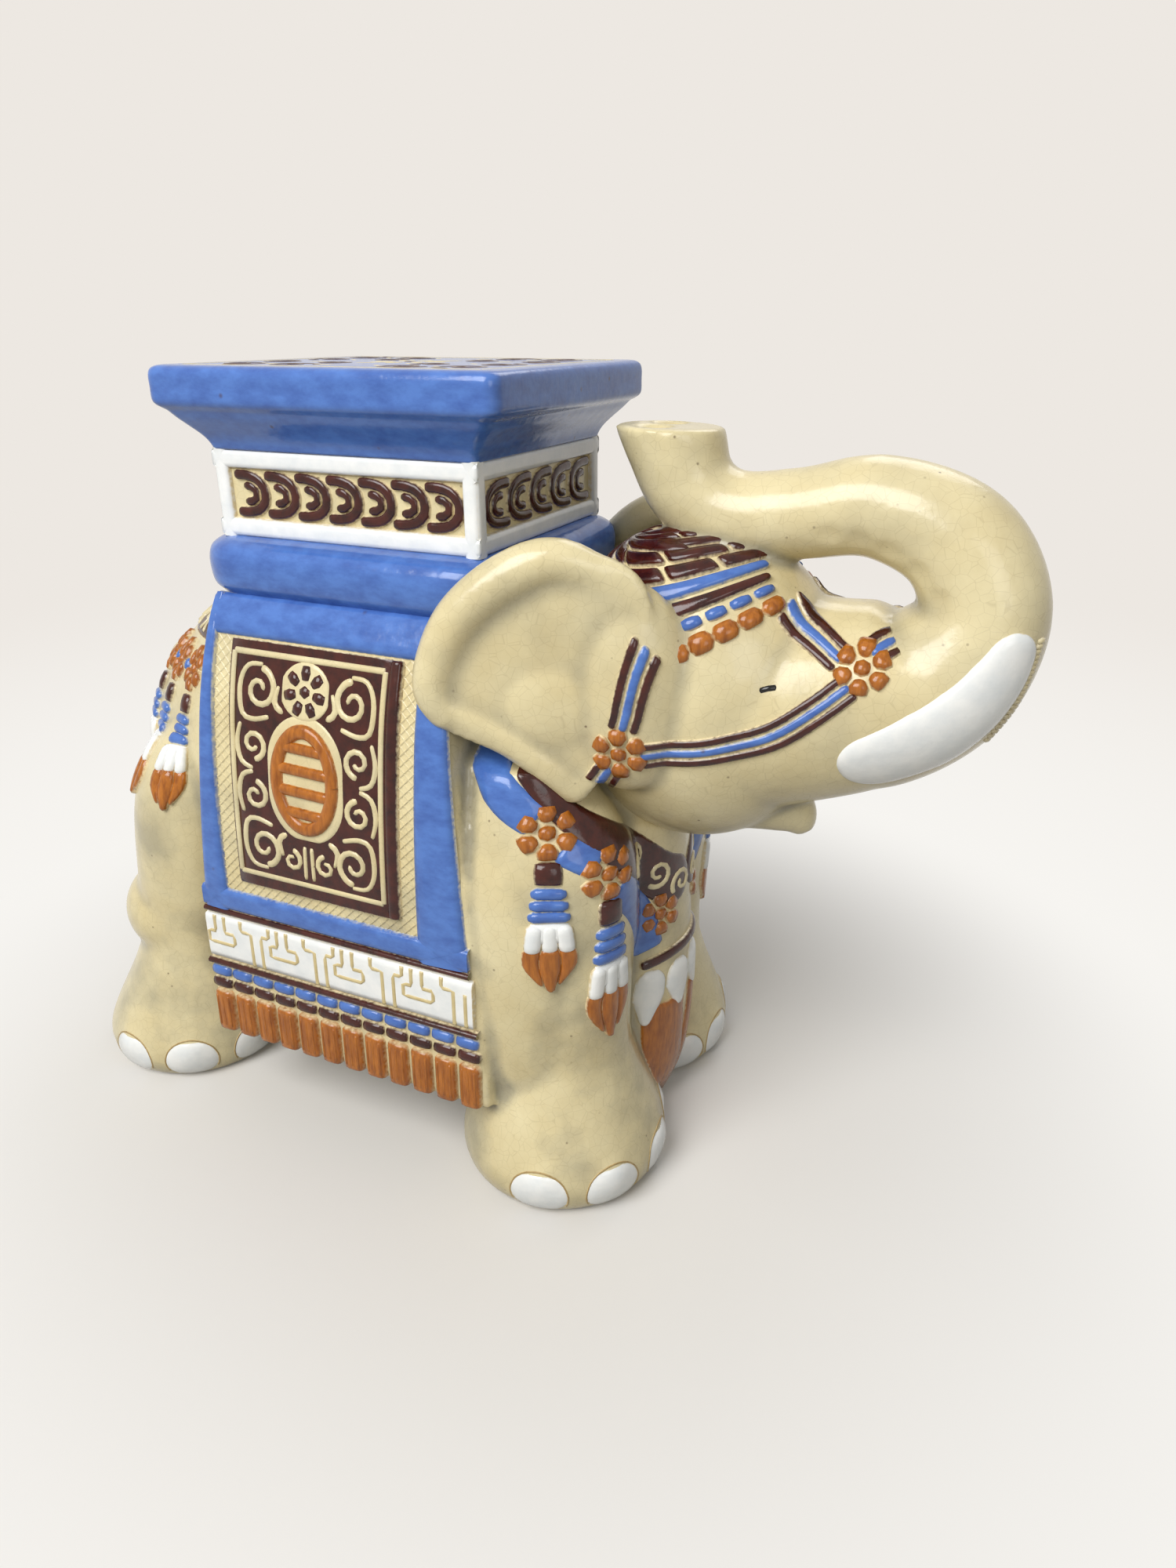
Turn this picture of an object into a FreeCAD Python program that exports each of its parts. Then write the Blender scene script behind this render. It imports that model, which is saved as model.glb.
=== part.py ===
"""Ceramic elephant side table: a hollow stoneware elephant that carries a square seat.

The castings (torso, legs, head, trunk, seat) and the applied relief pieces (saddle cloth,
harness, tassels) are separate solids that meet face to face, as they are luted before firing.

Frame: +X towards the trunk, +Y the elephant's left, +Z up. The origin is on the floor, below
the middle of the overall length. Millimetres.
"""
import FreeCAD
import Part

import math
import os

Vec = FreeCAD.Vector

# Overall sizes
overall_length = 548.0
overall_height = 430.0
front_x = overall_length / 2
rear_x = -overall_length / 2

# Cast walls and the holes that let the air out in the kiln
wall = 9.0
air_hole_d = 22.0
vent_d = 18.0

# Torso: an egg that lies along X
torso_length = 350.0
torso_rear_x = -250.0
torso_width = 204.0
torso_height = 250.0
torso_z = 200.0

# Legs
foot_r = 59.0
sole_r = 53.0
foot_bulge_z = 18.0
instep_z = 48.0
shank_r = 38.0
shank_z = 95.0
thigh_r = 40.0
thigh_z = 180.0
leg_top_z = 252.0
shoulder_r = 18.0
front_leg_x = 61.0
front_leg_y = 61.5
rear_leg_x = rear_x + foot_r
rear_leg_y = 61.5
rear_leg_lean = 11.0

# Web between the front legs
web_front_x = 86.0
web_r = 38.0
web_bottom_z = 4.0

# Toenails
nail_width = 27.0
nail_height = 24.0
nail_sink = 8.0
nail_step = 42.0
nail_count = 4
front_nail_angle = -81.0
rear_nail_angle = -89.0

# Head and lower lip
head_x = 113.0
head_z = 277.0
head_length = 150.0
head_width = 128.0
head_height = 164.0
lip_reach = 46.0
lip_width = 34.0
lip_height = 24.0
lip_z = 209.0

# Trunk: it leaves the face, loops up and back, and rests on the forehead
trunk_root_r = 46.0
trunk_bend_r = 29.5
trunk_top_r = 23.0
trunk_tip_r = 27.0
trunk_top_z = 395.0
trunk_bend_z = 330.0
trunk_tip_z = 404.0
trunk_tip_x = 90.0
trunk_wall = 8.0
nostril_d = 9.0
nostril_depth = 10.0

# Ears: dished flaps turned outwards
ear_front_x = 108.0
ear_front_y = 66.0
ear_turn = 20.0
ear_length = 107.0
ear_height = 124.0
ear_low_z = 234.0
ear_depth = 46.0
ear_rim = 14.0
ear_dish = 7.0

# Tusks
tusk_root_r = 15.0
tusk_tip_r = 4.0
tusk_y = 37.0

# Tail
tail_r = 7.0
tail_top_z = 268.0
tail_bottom_z = 118.0

# Saddle pad and seat
seat_x = -52.0
seat_length = 195.0
seat_width = 175.0
seat_edge = 20.5
seat_corner_r = 7.0
seat_edge_r = 4.5
cove_height = 18.5
cove_lip = 3.0
neck_length = 154.0
neck_width = 140.0
neck_height = 44.0
neck_corner_r = 4.0
roll_height = 28.0
roll_overhang = 14.0
roll_corner_r = 28.0
roll_round_r = 12.5
pad_depth = 60.0
pad_inset = 7.0
tile_margin = 11.0
tile_thick = 3.0

# Fret on the neck
fret_margin = 11.0
fret_depth = 2.5
fret_line = 4.2
fret_side_count = 7
fret_end_count = 5

# Saddle cloth: the height of each line from the floor, and how far each edge is from seat_x
cloth_y_top = 78.0
cloth_y_bottom = 113.0
cloth_depth = 34.0
cloth_bottom_z = 57.0
tab_top_z = 86.0
bead_top_z = 104.0
border_bottom_z = 144.0
border_bottom_width = 13.0
border_top_width = 12.0
cloth_rear_top = 77.0
cloth_rear_bottom = 96.0
cloth_front_top = 66.0
cloth_front_bottom = 93.0
panel_rear = 64.0
panel_front = 45.0
panel_margin = 8.0
border_relief = 3.0
panel_ground = 1.0
panel_relief = 3.4
frame_line = 6.0
scroll_line = 5.5
corner_scroll_x = 33.0
corner_scroll_z = 46.0
corner_scroll_r = 13.5
side_scroll_x = 35.0
side_scroll_z = 16.0
side_scroll_r = 11.5
flower_r = 9.5
flower_z = 52.0
medallion_relief = 4.0
medallion_width = 43.0
medallion_height = 60.0
cord_width = 4.0
cord_relief = 3.5
key_relief = 2.5
bead_relief = 3.0
tab_relief = 4.0
tab_count = 12
tab_gap = 2.0

# Head harness: bands that rise to the front, measured up from the bead row
brow_rear_z = 271.0
brow_slope = 26.0
brow_relief = 4.0
cap_rear_x = 64.0
brow_bead_width = 14.0
brow_band_width = 20.0
strap_r = 4.0
rosette_r = 14.0
rosette_sink = 6.0
cheek_x = 98.0
cheek_z = 263.0
muzzle_x = 200.0
muzzle_z = 311.0

# Chest harness: heights of the rosettes and their angle from straight ahead
chest_axis_x = 20.0
chest_angles = (0.0, 42.0, 62.0)
chest_heights = (133.0, 189.0, 218.0)
chest_tassel_drops = (124.0, 92.0, 74.0)
breast_band_r = 10.0
band_end_angle = 70.0
band_end_z = 240.0
collar_angles = (0.0, 42.0, 56.0)
collar_heights = (160.0, 214.0, 231.0)
collar_r = 8.0
tassel_r = 11.0

# Rump harness
rump_axis_x = -150.0
rump_angles = (180.0, 142.0, 108.0)
rump_height = 262.0
rump_tassel_drop = 76.0
crupper_rise = 24.0
crupper_r = 8.0


def at(x, y, z):
    """A point in the part's frame."""
    return Vec(x, y, z)


def ellipsoid(center, half_x, half_y, half_z, pole=Vec(0, 0, 1)):
    """A solid ellipsoid about a centre, with its poles where no hole is cut."""
    scale = FreeCAD.Matrix()
    scale.scale(half_x, half_y, half_z)
    ball = Part.makeSphere(1.0, at(0, 0, 0), pole).transformGeometry(scale)
    ball.translate(center)
    return ball


def spline(points, **tangents):
    """A smooth edge through points."""
    curve = Part.BSplineCurve()
    curve.interpolate(Points=points, **tangents)
    return curve.toShape()


def rounded_rect(length, width, radius, z):
    """A wire: a rounded rectangle round the seat's axis at one height."""
    half_l = length / 2 - radius
    half_w = width / 2 - radius
    corners = ((half_l, half_w), (-half_l, half_w), (-half_l, -half_w), (half_l, -half_w))
    edges = []
    for index, (x, y) in enumerate(corners):
        center = at(seat_x + x, y, z)
        circle = Part.Circle(center, Vec(0, 0, 1), radius)
        start = index * math.pi / 2
        edges.append(Part.Arc(circle, start, start + math.pi / 2).toShape())
    for index in range(4):
        edges.append(Part.makeLine(edges[index].lastVertex().Point, edges[(index + 1) % 4].firstVertex().Point))
    return Part.Wire(Part.__sortEdges__(edges))


def rounded_block(length, width, radius, z_low, z_high):
    """An upright block with rounded corners on the seat's axis."""
    face = Part.Face(rounded_rect(length, width, radius, z_low))
    return face.extrude(Vec(0, 0, z_high - z_low))


def tube(stations, inset=0.0):
    """A round tapering bar through (point, radius) stations."""
    path = spline([point for point, radius in stations])
    rings = []
    for point, radius in stations:
        tangent = path.tangentAt(path.Curve.parameter(point))
        rings.append(Part.Wire(Part.makeCircle(radius - inset, point, tangent)))
    return Part.makeLoft(rings, True)


def cord(points, radius):
    """A round cord of one thickness from point to point."""
    links = []
    for start, end in zip(points, points[1:]):
        links.append(Part.makeCylinder(radius, start.distanceToPoint(end), start, end - start))
    balls = [Part.makeSphere(radius, point) for point in points[1:-1]]
    return links[0].multiFuse(links[1:] + balls) if balls else links[0]


def carve(shape, *neighbours):
    """Cut neighbours away one after the other and keep the largest solid."""
    for neighbour in neighbours:
        if shape.BoundBox.intersect(neighbour.BoundBox):
            shape = shape.cut(neighbour)
    return max(shape.Solids, key=lambda solid: solid.Volume)


def mirrored(shape):
    """The same piece on the elephant's left side."""
    return shape.mirror(Vec(0, 0, 0), Vec(0, 1, 0))


def torso_form(grow=0.0):
    """The torso, grown or shrunk by a distance."""
    center = at(torso_rear_x + torso_length / 2, 0, torso_z)
    half_height = torso_height / 2 + grow
    return ellipsoid(center, torso_length / 2 + grow, torso_width / 2 + grow, half_height, Vec(0, 1, 0))


def leg_form(x, y, lean, inset=0.0):
    """A right leg: a round column on a flared foot, leaning forwards by an angle above the foot."""
    instep_r = shank_r + 0.6 * (foot_r - shank_r)
    sections = [(inset, sole_r), (foot_bulge_z, foot_r), (instep_z, instep_r), (shank_z, shank_r),
                (thigh_z, thigh_r), (leg_top_z - inset, shoulder_r)]
    rings = []
    for z, radius in sections:
        shift = max(0.0, z - foot_bulge_z) * math.tan(math.radians(lean))
        rings.append(Part.Wire(Part.makeCircle(radius - inset, at(x + shift, -y, z))))
    return Part.makeLoft(rings, True)


def head_form(grow=0.0):
    """The head: an egg."""
    center = at(head_x, 0, head_z)
    return ellipsoid(center, head_length / 2 + grow, head_width / 2 + grow, head_height / 2 + grow)


def trunk_stations():
    """Points and radii along the trunk, from inside the head to the tip."""
    bend_x = front_x - trunk_bend_r
    crown_z = trunk_top_z - trunk_top_r
    mid_r = (trunk_root_r + trunk_bend_r) / 2
    rise = (trunk_bend_z - head_z) * 0.42
    return [(at(head_x + 22, 0, head_z + 3), trunk_root_r),
            (at(head_x + 58, 0, head_z + 4), trunk_root_r),
            (at(bend_x - 41, 0, head_z + 7), trunk_root_r),
            (at(bend_x - 13, 0, head_z + rise), mid_r),
            (at(bend_x, 0, trunk_bend_z), trunk_bend_r),
            (at(bend_x - 15, 0, (trunk_bend_z + crown_z) / 2 + 8), (trunk_bend_r + trunk_top_r) / 2),
            (at(bend_x - 50, 0, crown_z), trunk_top_r),
            (at(bend_x - 84, 0, crown_z - 5), trunk_top_r - 2),
            (at(trunk_tip_x + 36, 0, crown_z - 8), trunk_top_r - 2),
            (at(trunk_tip_x + 14, 0, crown_z + 3), trunk_top_r - 1),
            (at(trunk_tip_x, 0, trunk_tip_z), trunk_tip_r)]


def skin(bodies, axis_x, angle, z):
    """The outermost point of the bodies, seen from an upright axis at one height."""
    turn = math.radians(angle)
    start = at(axis_x, 0, z)
    line = Part.makeLine(start, start + Vec(math.cos(turn), math.sin(turn), 0) * overall_length)
    reach = 0.0
    for body in bodies:
        for vertex in line.common(body).Vertexes:
            reach = max(reach, vertex.Point.distanceToPoint(start))
    return start + Vec(math.cos(turn), math.sin(turn), 0) * reach


def side_skin(bodies, x, z):
    """The outermost point of the bodies on the right side, at one length and height."""
    line = Part.makeLine(at(x, 0, z), at(x, -overall_length, z))
    reach = 0.0
    for body in bodies:
        for vertex in line.common(body).Vertexes:
            reach = max(reach, -vertex.Point.y)
    return at(x, -reach, z)


def rosette(point, axis):
    """A round boss, sunk into the skin towards the axis."""
    inward = (axis - point).normalize()
    return Part.makeSphere(rosette_r, point + inward * rosette_sink)


def tassel(bodies, axis_x, angle, top_z, drop, radius):
    """Stem, cup and tuft of one tassel, each an egg that is half sunk in the skin."""
    stem_z = top_z - 0.30 * drop
    cup_z = top_z - 0.52 * drop
    tuft_z = top_z - 0.79 * drop
    stem = ellipsoid(skin(bodies, axis_x, angle, stem_z), radius * 0.75, radius * 0.75, 0.16 * drop)
    cup = ellipsoid(skin(bodies, axis_x, angle, cup_z), radius * 0.9, radius * 0.9, 0.14 * drop)
    tuft = ellipsoid(skin(bodies, axis_x, angle, tuft_z), radius, radius, 0.21 * drop)
    return carve(stem, *bodies), carve(cup, stem, *bodies), carve(tuft, cup, *bodies)


def cloth_profile(offset):
    """The cloth's right-hand outline across the body, moved outwards by an offset."""
    top = pad_low_z + pad_depth - roll_round_r
    drop = top - cloth_bottom_z
    spread = cloth_y_bottom - cloth_y_top
    points = [(cloth_y_top, top), (cloth_y_top + 0.32 * spread, top - 0.08 * drop),
              (cloth_y_top + 0.66 * spread, top - 0.25 * drop), (cloth_y_top + 0.9 * spread, top - 0.55 * drop),
              (cloth_y_bottom, cloth_bottom_z)]
    return spline([at(0, -(y + offset), z) for y, z in points])


def cloth_layer(low, high, outline):
    """A layer of the cloth between two offsets, trimmed to an outline of (x, z) points."""
    inner = cloth_profile(low)
    outer = cloth_profile(high)
    edges = [inner, Part.makeLine(inner.lastVertex().Point, outer.lastVertex().Point), outer,
             Part.makeLine(outer.firstVertex().Point, inner.firstVertex().Point)]
    face = Part.Face(Part.Wire(Part.__sortEdges__(edges)))
    face.translate(at(-overall_length, 0, 0))
    strip = face.extrude(Vec(2 * overall_length, 0, 0))
    return strip.common(upright_prism(outline))


def upright_prism(outline):
    """A prism across the whole width over an outline of (x, z) points."""
    points = [at(x, -overall_length, z) for x, z in outline]
    face = Part.Face(Part.makePolygon(points + points[:1]))
    return face.extrude(Vec(0, overall_length, 0))


def cloth_edge(z, low_value, high_value):
    """An edge's distance from the seat's axis at one height of the cloth."""
    share = (z - cloth_bottom_z) / (pad_low_z + pad_depth - cloth_bottom_z)
    return low_value + (high_value - low_value) * share


def cloth_band(z_low, z_high, inset=0.0):
    """Outline of a band right across the cloth."""
    return [(seat_x - cloth_edge(z_low, cloth_rear_bottom, cloth_rear_top) + inset, z_low),
            (seat_x + cloth_edge(z_low, cloth_front_bottom, cloth_front_top) - inset, z_low),
            (seat_x + cloth_edge(z_high, cloth_front_bottom, cloth_front_top) - inset, z_high),
            (seat_x - cloth_edge(z_high, cloth_rear_bottom, cloth_rear_top) + inset, z_high)]


def panel_outline(margin):
    """Outline of the scroll panel, widened by a margin."""
    low = border_bottom_z + border_bottom_width + panel_margin - margin
    high = cloth_top_z - border_top_width - panel_margin + margin
    rear = seat_x - panel_rear - margin
    front = seat_x + panel_front + margin
    return [(rear, low), (front, low), (front, high), (rear, high)]


def open_ring(x, z, radius, mouth):
    """A ring right across the width, open to one side in X: mouth is 1 to the front and -1 to the rear."""
    start = at(x, -overall_length, z)
    ring = Part.makeCylinder(radius, overall_length, start, Vec(0, 1, 0))
    bore = Part.makeCylinder(radius - scroll_line, overall_length, start, Vec(0, 1, 0))
    gap = Part.makeBox(radius, overall_length, scroll_line,
                       at(x if mouth > 0 else x - radius, -overall_length, z - scroll_line / 2))
    return ring.cut([bore, gap])


def fret_row(length, count):
    """Scroll hooks in a row along X, lying in the XZ plane and pointing to -Y."""
    radius = (neck_height - 2 * fret_margin) / 2
    pitch = length / count
    hooks = []
    for index in range(count):
        x = (index + 0.5) * pitch - length / 2
        ring = Part.makeCylinder(radius, fret_depth, at(x, 0, 0), Vec(0, -1, 0))
        bore = Part.makeCylinder(radius - fret_line, fret_depth, at(x, 0, 0), Vec(0, -1, 0))
        mouth = Part.makeBox(radius, fret_depth, radius, at(x, -fret_depth, -radius / 2))
        bar = Part.makeBox(radius - fret_line, fret_depth, fret_line, at(x, -fret_depth, -fret_line / 2))
        hooks.append(ring.cut([bore, mouth]))
        hooks.append(bar)
    return Part.makeCompound([hook.Solids[0] for hook in hooks])


# Heights that follow from the sizes above
slab_low_z = overall_height - seat_edge
neck_top_z = slab_low_z - cove_height
neck_low_z = neck_top_z - neck_height
roll_low_z = neck_low_z - roll_height
pad_low_z = roll_low_z + roll_round_r - pad_depth
cloth_top_z = roll_low_z

nodes = {}

# Forms that neighbours are cut with
torso = torso_form()
front_leg = leg_form(front_leg_x, front_leg_y, 0.0)
rear_leg = leg_form(rear_leg_x, rear_leg_y, rear_leg_lean)
head = head_form()
stations = trunk_stations()
trunk = tube(stations)
web = Part.makeCylinder(web_r, torso_z - web_bottom_z, at(web_front_x - web_r, 0, web_bottom_z))
front_legs = [front_leg, mirrored(front_leg)]
rear_legs = [rear_leg, mirrored(rear_leg)]

# Saddle pad, neck and seat
pad_length = neck_length + 2 * roll_overhang
pad_width = neck_width + 2 * roll_overhang
roll = rounded_block(pad_length, pad_width, roll_corner_r, roll_low_z, neck_low_z)
rims = [edge for edge in roll.Edges if edge.BoundBox.ZLength < 0.1]
roll = roll.makeFillet(roll_round_r, rims)
pad = rounded_block(pad_length - 2 * pad_inset, pad_width - 2 * pad_inset, roll_corner_r - pad_inset,
                    pad_low_z, roll_low_z + roll_round_r)
well = rounded_block(neck_length - 2 * wall, neck_width - 2 * wall, neck_corner_r, pad_low_z, neck_top_z)
saddle_pad = roll.fuse(pad)
nodes["saddle_pad"] = carve(saddle_pad, torso, well)

neck = rounded_block(neck_length, neck_width, neck_corner_r, neck_low_z, neck_top_z)
pocket_height = neck_height - 2 * fret_margin
side_pocket = Part.makeBox(neck_length - 2 * fret_margin, neck_width, pocket_height,
                           at(seat_x - neck_length / 2 + fret_margin, -neck_width / 2, neck_low_z + fret_margin))
end_pocket = Part.makeBox(neck_length, neck_width - 2 * fret_margin, pocket_height,
                          at(seat_x - neck_length / 2, -neck_width / 2 + fret_margin, neck_low_z + fret_margin))
core = rounded_block(neck_length - 2 * fret_depth, neck_width - 2 * fret_depth, neck_corner_r,
                     neck_low_z, neck_top_z)
pockets = side_pocket.fuse(end_pocket).cut(core)
nodes["seat_neck"] = carve(neck, pockets, well)

fret_z = (neck_low_z + neck_top_z) / 2
for name, count, length, reach, turn in (
        ("neck_fret_right", fret_side_count, neck_length, neck_width, 0),
        ("neck_fret_left", fret_side_count, neck_length, neck_width, 180),
        ("neck_fret_front", fret_end_count, neck_width, neck_length, 90),
        ("neck_fret_rear", fret_end_count, neck_width, neck_length, -90)):
    row = fret_row(length - 2 * fret_margin, count)
    row.translate(at(0, -reach / 2 + fret_depth, 0))
    row.rotate(Vec(0, 0, 0), Vec(0, 0, 1), turn)
    row.translate(at(seat_x, 0, fret_z))
    nodes[name] = row

slab = rounded_block(seat_length, seat_width, seat_corner_r, slab_low_z, overall_height)
rims = [edge for edge in slab.Edges if edge.BoundBox.ZLength < 0.1]
slab = slab.makeFillet(seat_edge_r, rims)
cove_out = (seat_length - neck_length) / 2 - seat_edge_r
cove = Part.makeLoft([
    rounded_rect(neck_length, neck_width, neck_corner_r, neck_top_z),
    rounded_rect(neck_length + 0.5 * cove_out, neck_width + 0.5 * cove_out, neck_corner_r,
                 neck_top_z + 0.35 * cove_height),
    rounded_rect(neck_length + 1.4 * cove_out, neck_width + 1.4 * cove_out, seat_corner_r,
                 neck_top_z + 0.75 * cove_height),
    rounded_rect(neck_length + 2 * cove_out, neck_width + 2 * cove_out, seat_corner_r,
                 slab_low_z + cove_lip)], True)
tile = rounded_block(seat_length - 2 * tile_margin, seat_width - 2 * tile_margin, seat_corner_r,
                     overall_height - tile_thick, overall_height)
nodes["seat_slab"] = carve(slab.fuse(cove), tile)
nodes["seat_tile"] = tile

# Castings
passages = [Part.makeCylinder(vent_d / 2, torso_z, at(seat_x, 0, 0)),
            Part.makeCylinder(air_hole_d / 2, torso_z, at(seat_x, 0, torso_z)),
            Part.makeCylinder(air_hole_d / 2, head_x - seat_x, at(seat_x, 0, torso_z),
                              at(head_x - seat_x, 0, head_z - torso_z))]
rear_thigh_x = rear_leg_x + math.tan(math.radians(rear_leg_lean)) * shank_z
for x, y in ((front_leg_x, front_leg_y), (rear_thigh_x, rear_leg_y)):
    for side in (-1, 1):
        passages.append(Part.makeCylinder(air_hole_d / 2, torso_z - shank_z, at(x, side * y, shank_z)))
nodes["torso_shell"] = carve(torso, torso_form(-wall), *passages)
nodes["chest_web"] = carve(web, torso, *front_legs)
front_hollow = leg_form(front_leg_x, front_leg_y, 0.0, wall)
rear_hollow = leg_form(rear_leg_x, rear_leg_y, rear_leg_lean, wall)
nodes["leg_front_right"] = carve(front_leg, torso, front_hollow)
nodes["leg_rear_right"] = carve(rear_leg, torso, rear_hollow)
head_passage = Part.makeCylinder(air_hole_d / 2, head_length / 2, at(head_x, 0, head_z), Vec(1, 0, 0))
nodes["head_shell"] = carve(head, torso, head_form(-wall), passages[2], head_passage)
bore = tube(stations[:-1], trunk_wall)
tip, before_tip = stations[-1][0], stations[-2][0]
tip_way = (tip - before_tip).normalize()
nostrils = [Part.makeCylinder(nostril_d / 2, nostril_depth, tip + Vec(0, side * nostril_d, 0), tip_way * -1)
            for side in (-1, 1)]
nodes["trunk"] = carve(trunk, head, bore, saddle_pad, neck, *nostrils)
lip = ellipsoid(at(0, 0, 0), lip_reach / 2, lip_width / 2, lip_height / 2)
lip.translate(at(head_x + head_length / 2 - lip_reach / 2, 0, lip_z))
nodes["lower_lip"] = carve(lip, head, trunk)

tusk_rise = trunk_bend_z - head_z
tusk_stations = [(at(front_x - 90, -tusk_y, head_z - 15), tusk_root_r),
                 (at(front_x - 64, -tusk_y, head_z - 10), tusk_root_r - 1),
                 (at(front_x - 41, -tusk_y, head_z + 0.09 * tusk_rise), 0.75 * tusk_root_r),
                 (at(front_x - 25, -0.86 * tusk_y, head_z + 0.45 * tusk_rise), 0.58 * tusk_root_r),
                 (at(front_x - 14, -0.72 * tusk_y, head_z + 0.92 * tusk_rise), tusk_tip_r)]
tusk = tube(tusk_stations)
nodes["tusk_right"] = carve(tusk, trunk, head)

# Saddle cloth, right side
flap = cloth_layer(-cloth_depth, 0.0, cloth_band(cloth_bottom_z, cloth_top_z))
cloth_bodies = [torso, saddle_pad, front_leg, rear_leg]
flap = carve(flap, *cloth_bodies)
nodes["cloth_flap_right"] = flap
border = cloth_layer(0.0, border_relief, cloth_band(border_bottom_z, cloth_top_z))
nodes["cloth_border_right"] = carve(border, upright_prism(panel_outline(panel_margin)), saddle_pad)
panel_x = seat_x + (panel_front - panel_rear) / 2
panel_z = (panel_outline(0.0)[0][1] + panel_outline(0.0)[2][1]) / 2
ground = cloth_layer(0.0, panel_ground, panel_outline(0.0)).Solids[0]
relief = cloth_layer(panel_ground, panel_relief, panel_outline(0.0))
panel_parts = [relief.cut(upright_prism(panel_outline(-frame_line)))]
for across in (-1, 1):
    for up in (-1, 1):
        panel_parts.append(relief.common(open_ring(panel_x + across * corner_scroll_x, panel_z + up * corner_scroll_z,
                                                   corner_scroll_r, -across)))
        panel_parts.append(relief.common(open_ring(panel_x + across * side_scroll_x, panel_z + up * side_scroll_z,
                                                   side_scroll_r, across)))
flower = Part.makeCylinder(flower_r, overall_length, at(panel_x, -overall_length, panel_z + flower_z), Vec(0, 1, 0))
panel_parts.append(relief.common(flower))
panel = ground.fuse([part.Solids[0] for part in panel_parts])
nodes["scroll_panel_right"] = panel.Solids[0]
oval = ellipsoid(at(panel_x, 0, panel_z), medallion_width / 2, overall_length, medallion_height / 2)
medallion = cloth_layer(panel_ground, panel_ground + medallion_relief, panel_outline(0.0)).common(oval)
nodes["medallion_right"] = medallion.Solids[0]
cords = [cloth_layer(0.0, cord_relief, cloth_band(border_bottom_z - cord_width, border_bottom_z)),
         cloth_layer(0.0, cord_relief, cloth_band(bead_top_z, bead_top_z + cord_width))]
nodes["hem_cords_right"] = Part.makeCompound([piece.Solids[0] for piece in cords])
key_band = cloth_layer(0.0, key_relief, cloth_band(bead_top_z + cord_width, border_bottom_z - cord_width))
nodes["key_band_right"] = key_band.Solids[0]
bead_mid_z = (tab_top_z + bead_top_z) / 2
rows = [cloth_layer(0.0, bead_relief, cloth_band(tab_top_z + tab_gap, bead_mid_z - tab_gap / 2)),
        cloth_layer(0.0, bead_relief, cloth_band(bead_mid_z + tab_gap / 2, bead_top_z - tab_gap))]
nodes["fringe_beads_right"] = Part.makeCompound([piece.Solids[0] for piece in rows])
tab_rear = seat_x - cloth_edge(tab_top_z, cloth_rear_bottom, cloth_rear_top)
tab_front = seat_x + cloth_edge(tab_top_z, cloth_front_bottom, cloth_front_top)
tab_pitch = (tab_front - tab_rear) / tab_count
tab = cloth_layer(0.0, tab_relief, [(tab_rear + tab_gap / 2, cloth_bottom_z),
                                    (tab_rear + tab_pitch - tab_gap / 2, cloth_bottom_z),
                                    (tab_rear + tab_pitch - tab_gap / 2, tab_top_z),
                                    (tab_rear + tab_gap / 2, tab_top_z)]).Solids[0]
tabs = [tab.translated(Vec(index * tab_pitch, 0, 0)) for index in range(tab_count)]
nodes["fringe_tabs_right"] = Part.makeCompound(tabs)

# Ears
turn = math.radians(ear_turn)
ear_back = Vec(-math.cos(turn), -math.sin(turn), 0)
ear_out = Vec(math.sin(turn), -math.cos(turn), 0)
ear_root = at(ear_front_x, -ear_front_y, ear_low_z)
ear_shape = ((0.29, 0.0), (0.45, 0.13), (0.92, 0.31), (1.0, 0.47), (0.87, 0.74), (0.61, 0.93), (0.35, 1.0),
             (0.04, 0.9), (-0.02, 0.63), (0.1, 0.3))
ear_points = [ear_root + ear_back * (across * ear_length) + Vec(0, 0, up * ear_height)
              for across, up in ear_shape]
ear_points.append(ear_points[0])
ear_arcs = [Part.Arc(*ear_points[index:index + 3]).toShape() for index in range(0, len(ear_shape), 2)]
ear_face = Part.Face(Part.Wire(ear_arcs))
ear_slab = ear_face.extrude(ear_out * -ear_depth)
dish_center = ear_root + ear_back * (0.46 * ear_length) + Vec(0, 0, 0.6 * ear_height)
dish_r = (ear_height / 2 - ear_rim) ** 2 / (2 * ear_dish) + ear_dish / 2
dish = Part.makeSphere(dish_r, dish_center + ear_out * (dish_r - ear_dish))
ear_bodies = [head, torso, front_leg, saddle_pad, flap, nodes["cloth_border_right"]]
nodes["ear_right"] = carve(ear_slab, dish, *ear_bodies)

# Head harness
slope = math.radians(brow_slope)
brow_up = Vec(-math.sin(slope), 0, math.cos(slope))
ears = [ear_slab, mirrored(ear_slab)]
behind = Part.makeBox(head_length, overall_length, overall_height, at(cap_rear_x - head_length, -front_x, 0))
helmet = carve(head_form(brow_relief), behind, head, trunk, *ears)


def brow_layer(low, high):
    """The part of the head's skin between two tilted planes."""
    base = at(head_x, 0, brow_rear_z + head_length / 2 * math.tan(slope)) + brow_up * low
    disc = Part.makeCylinder(head_length, high - low, base, brow_up)
    solids = helmet.common(disc).Solids
    biggest = max(solid.Volume for solid in solids)
    return Part.makeCompound([solid for solid in solids if solid.Volume > biggest / 20])


nodes["brow_beads"] = brow_layer(0.0, brow_bead_width)
nodes["brow_band"] = brow_layer(brow_bead_width, brow_bead_width + brow_band_width)
nodes["head_cap"] = brow_layer(brow_bead_width + brow_band_width, head_height)

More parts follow.
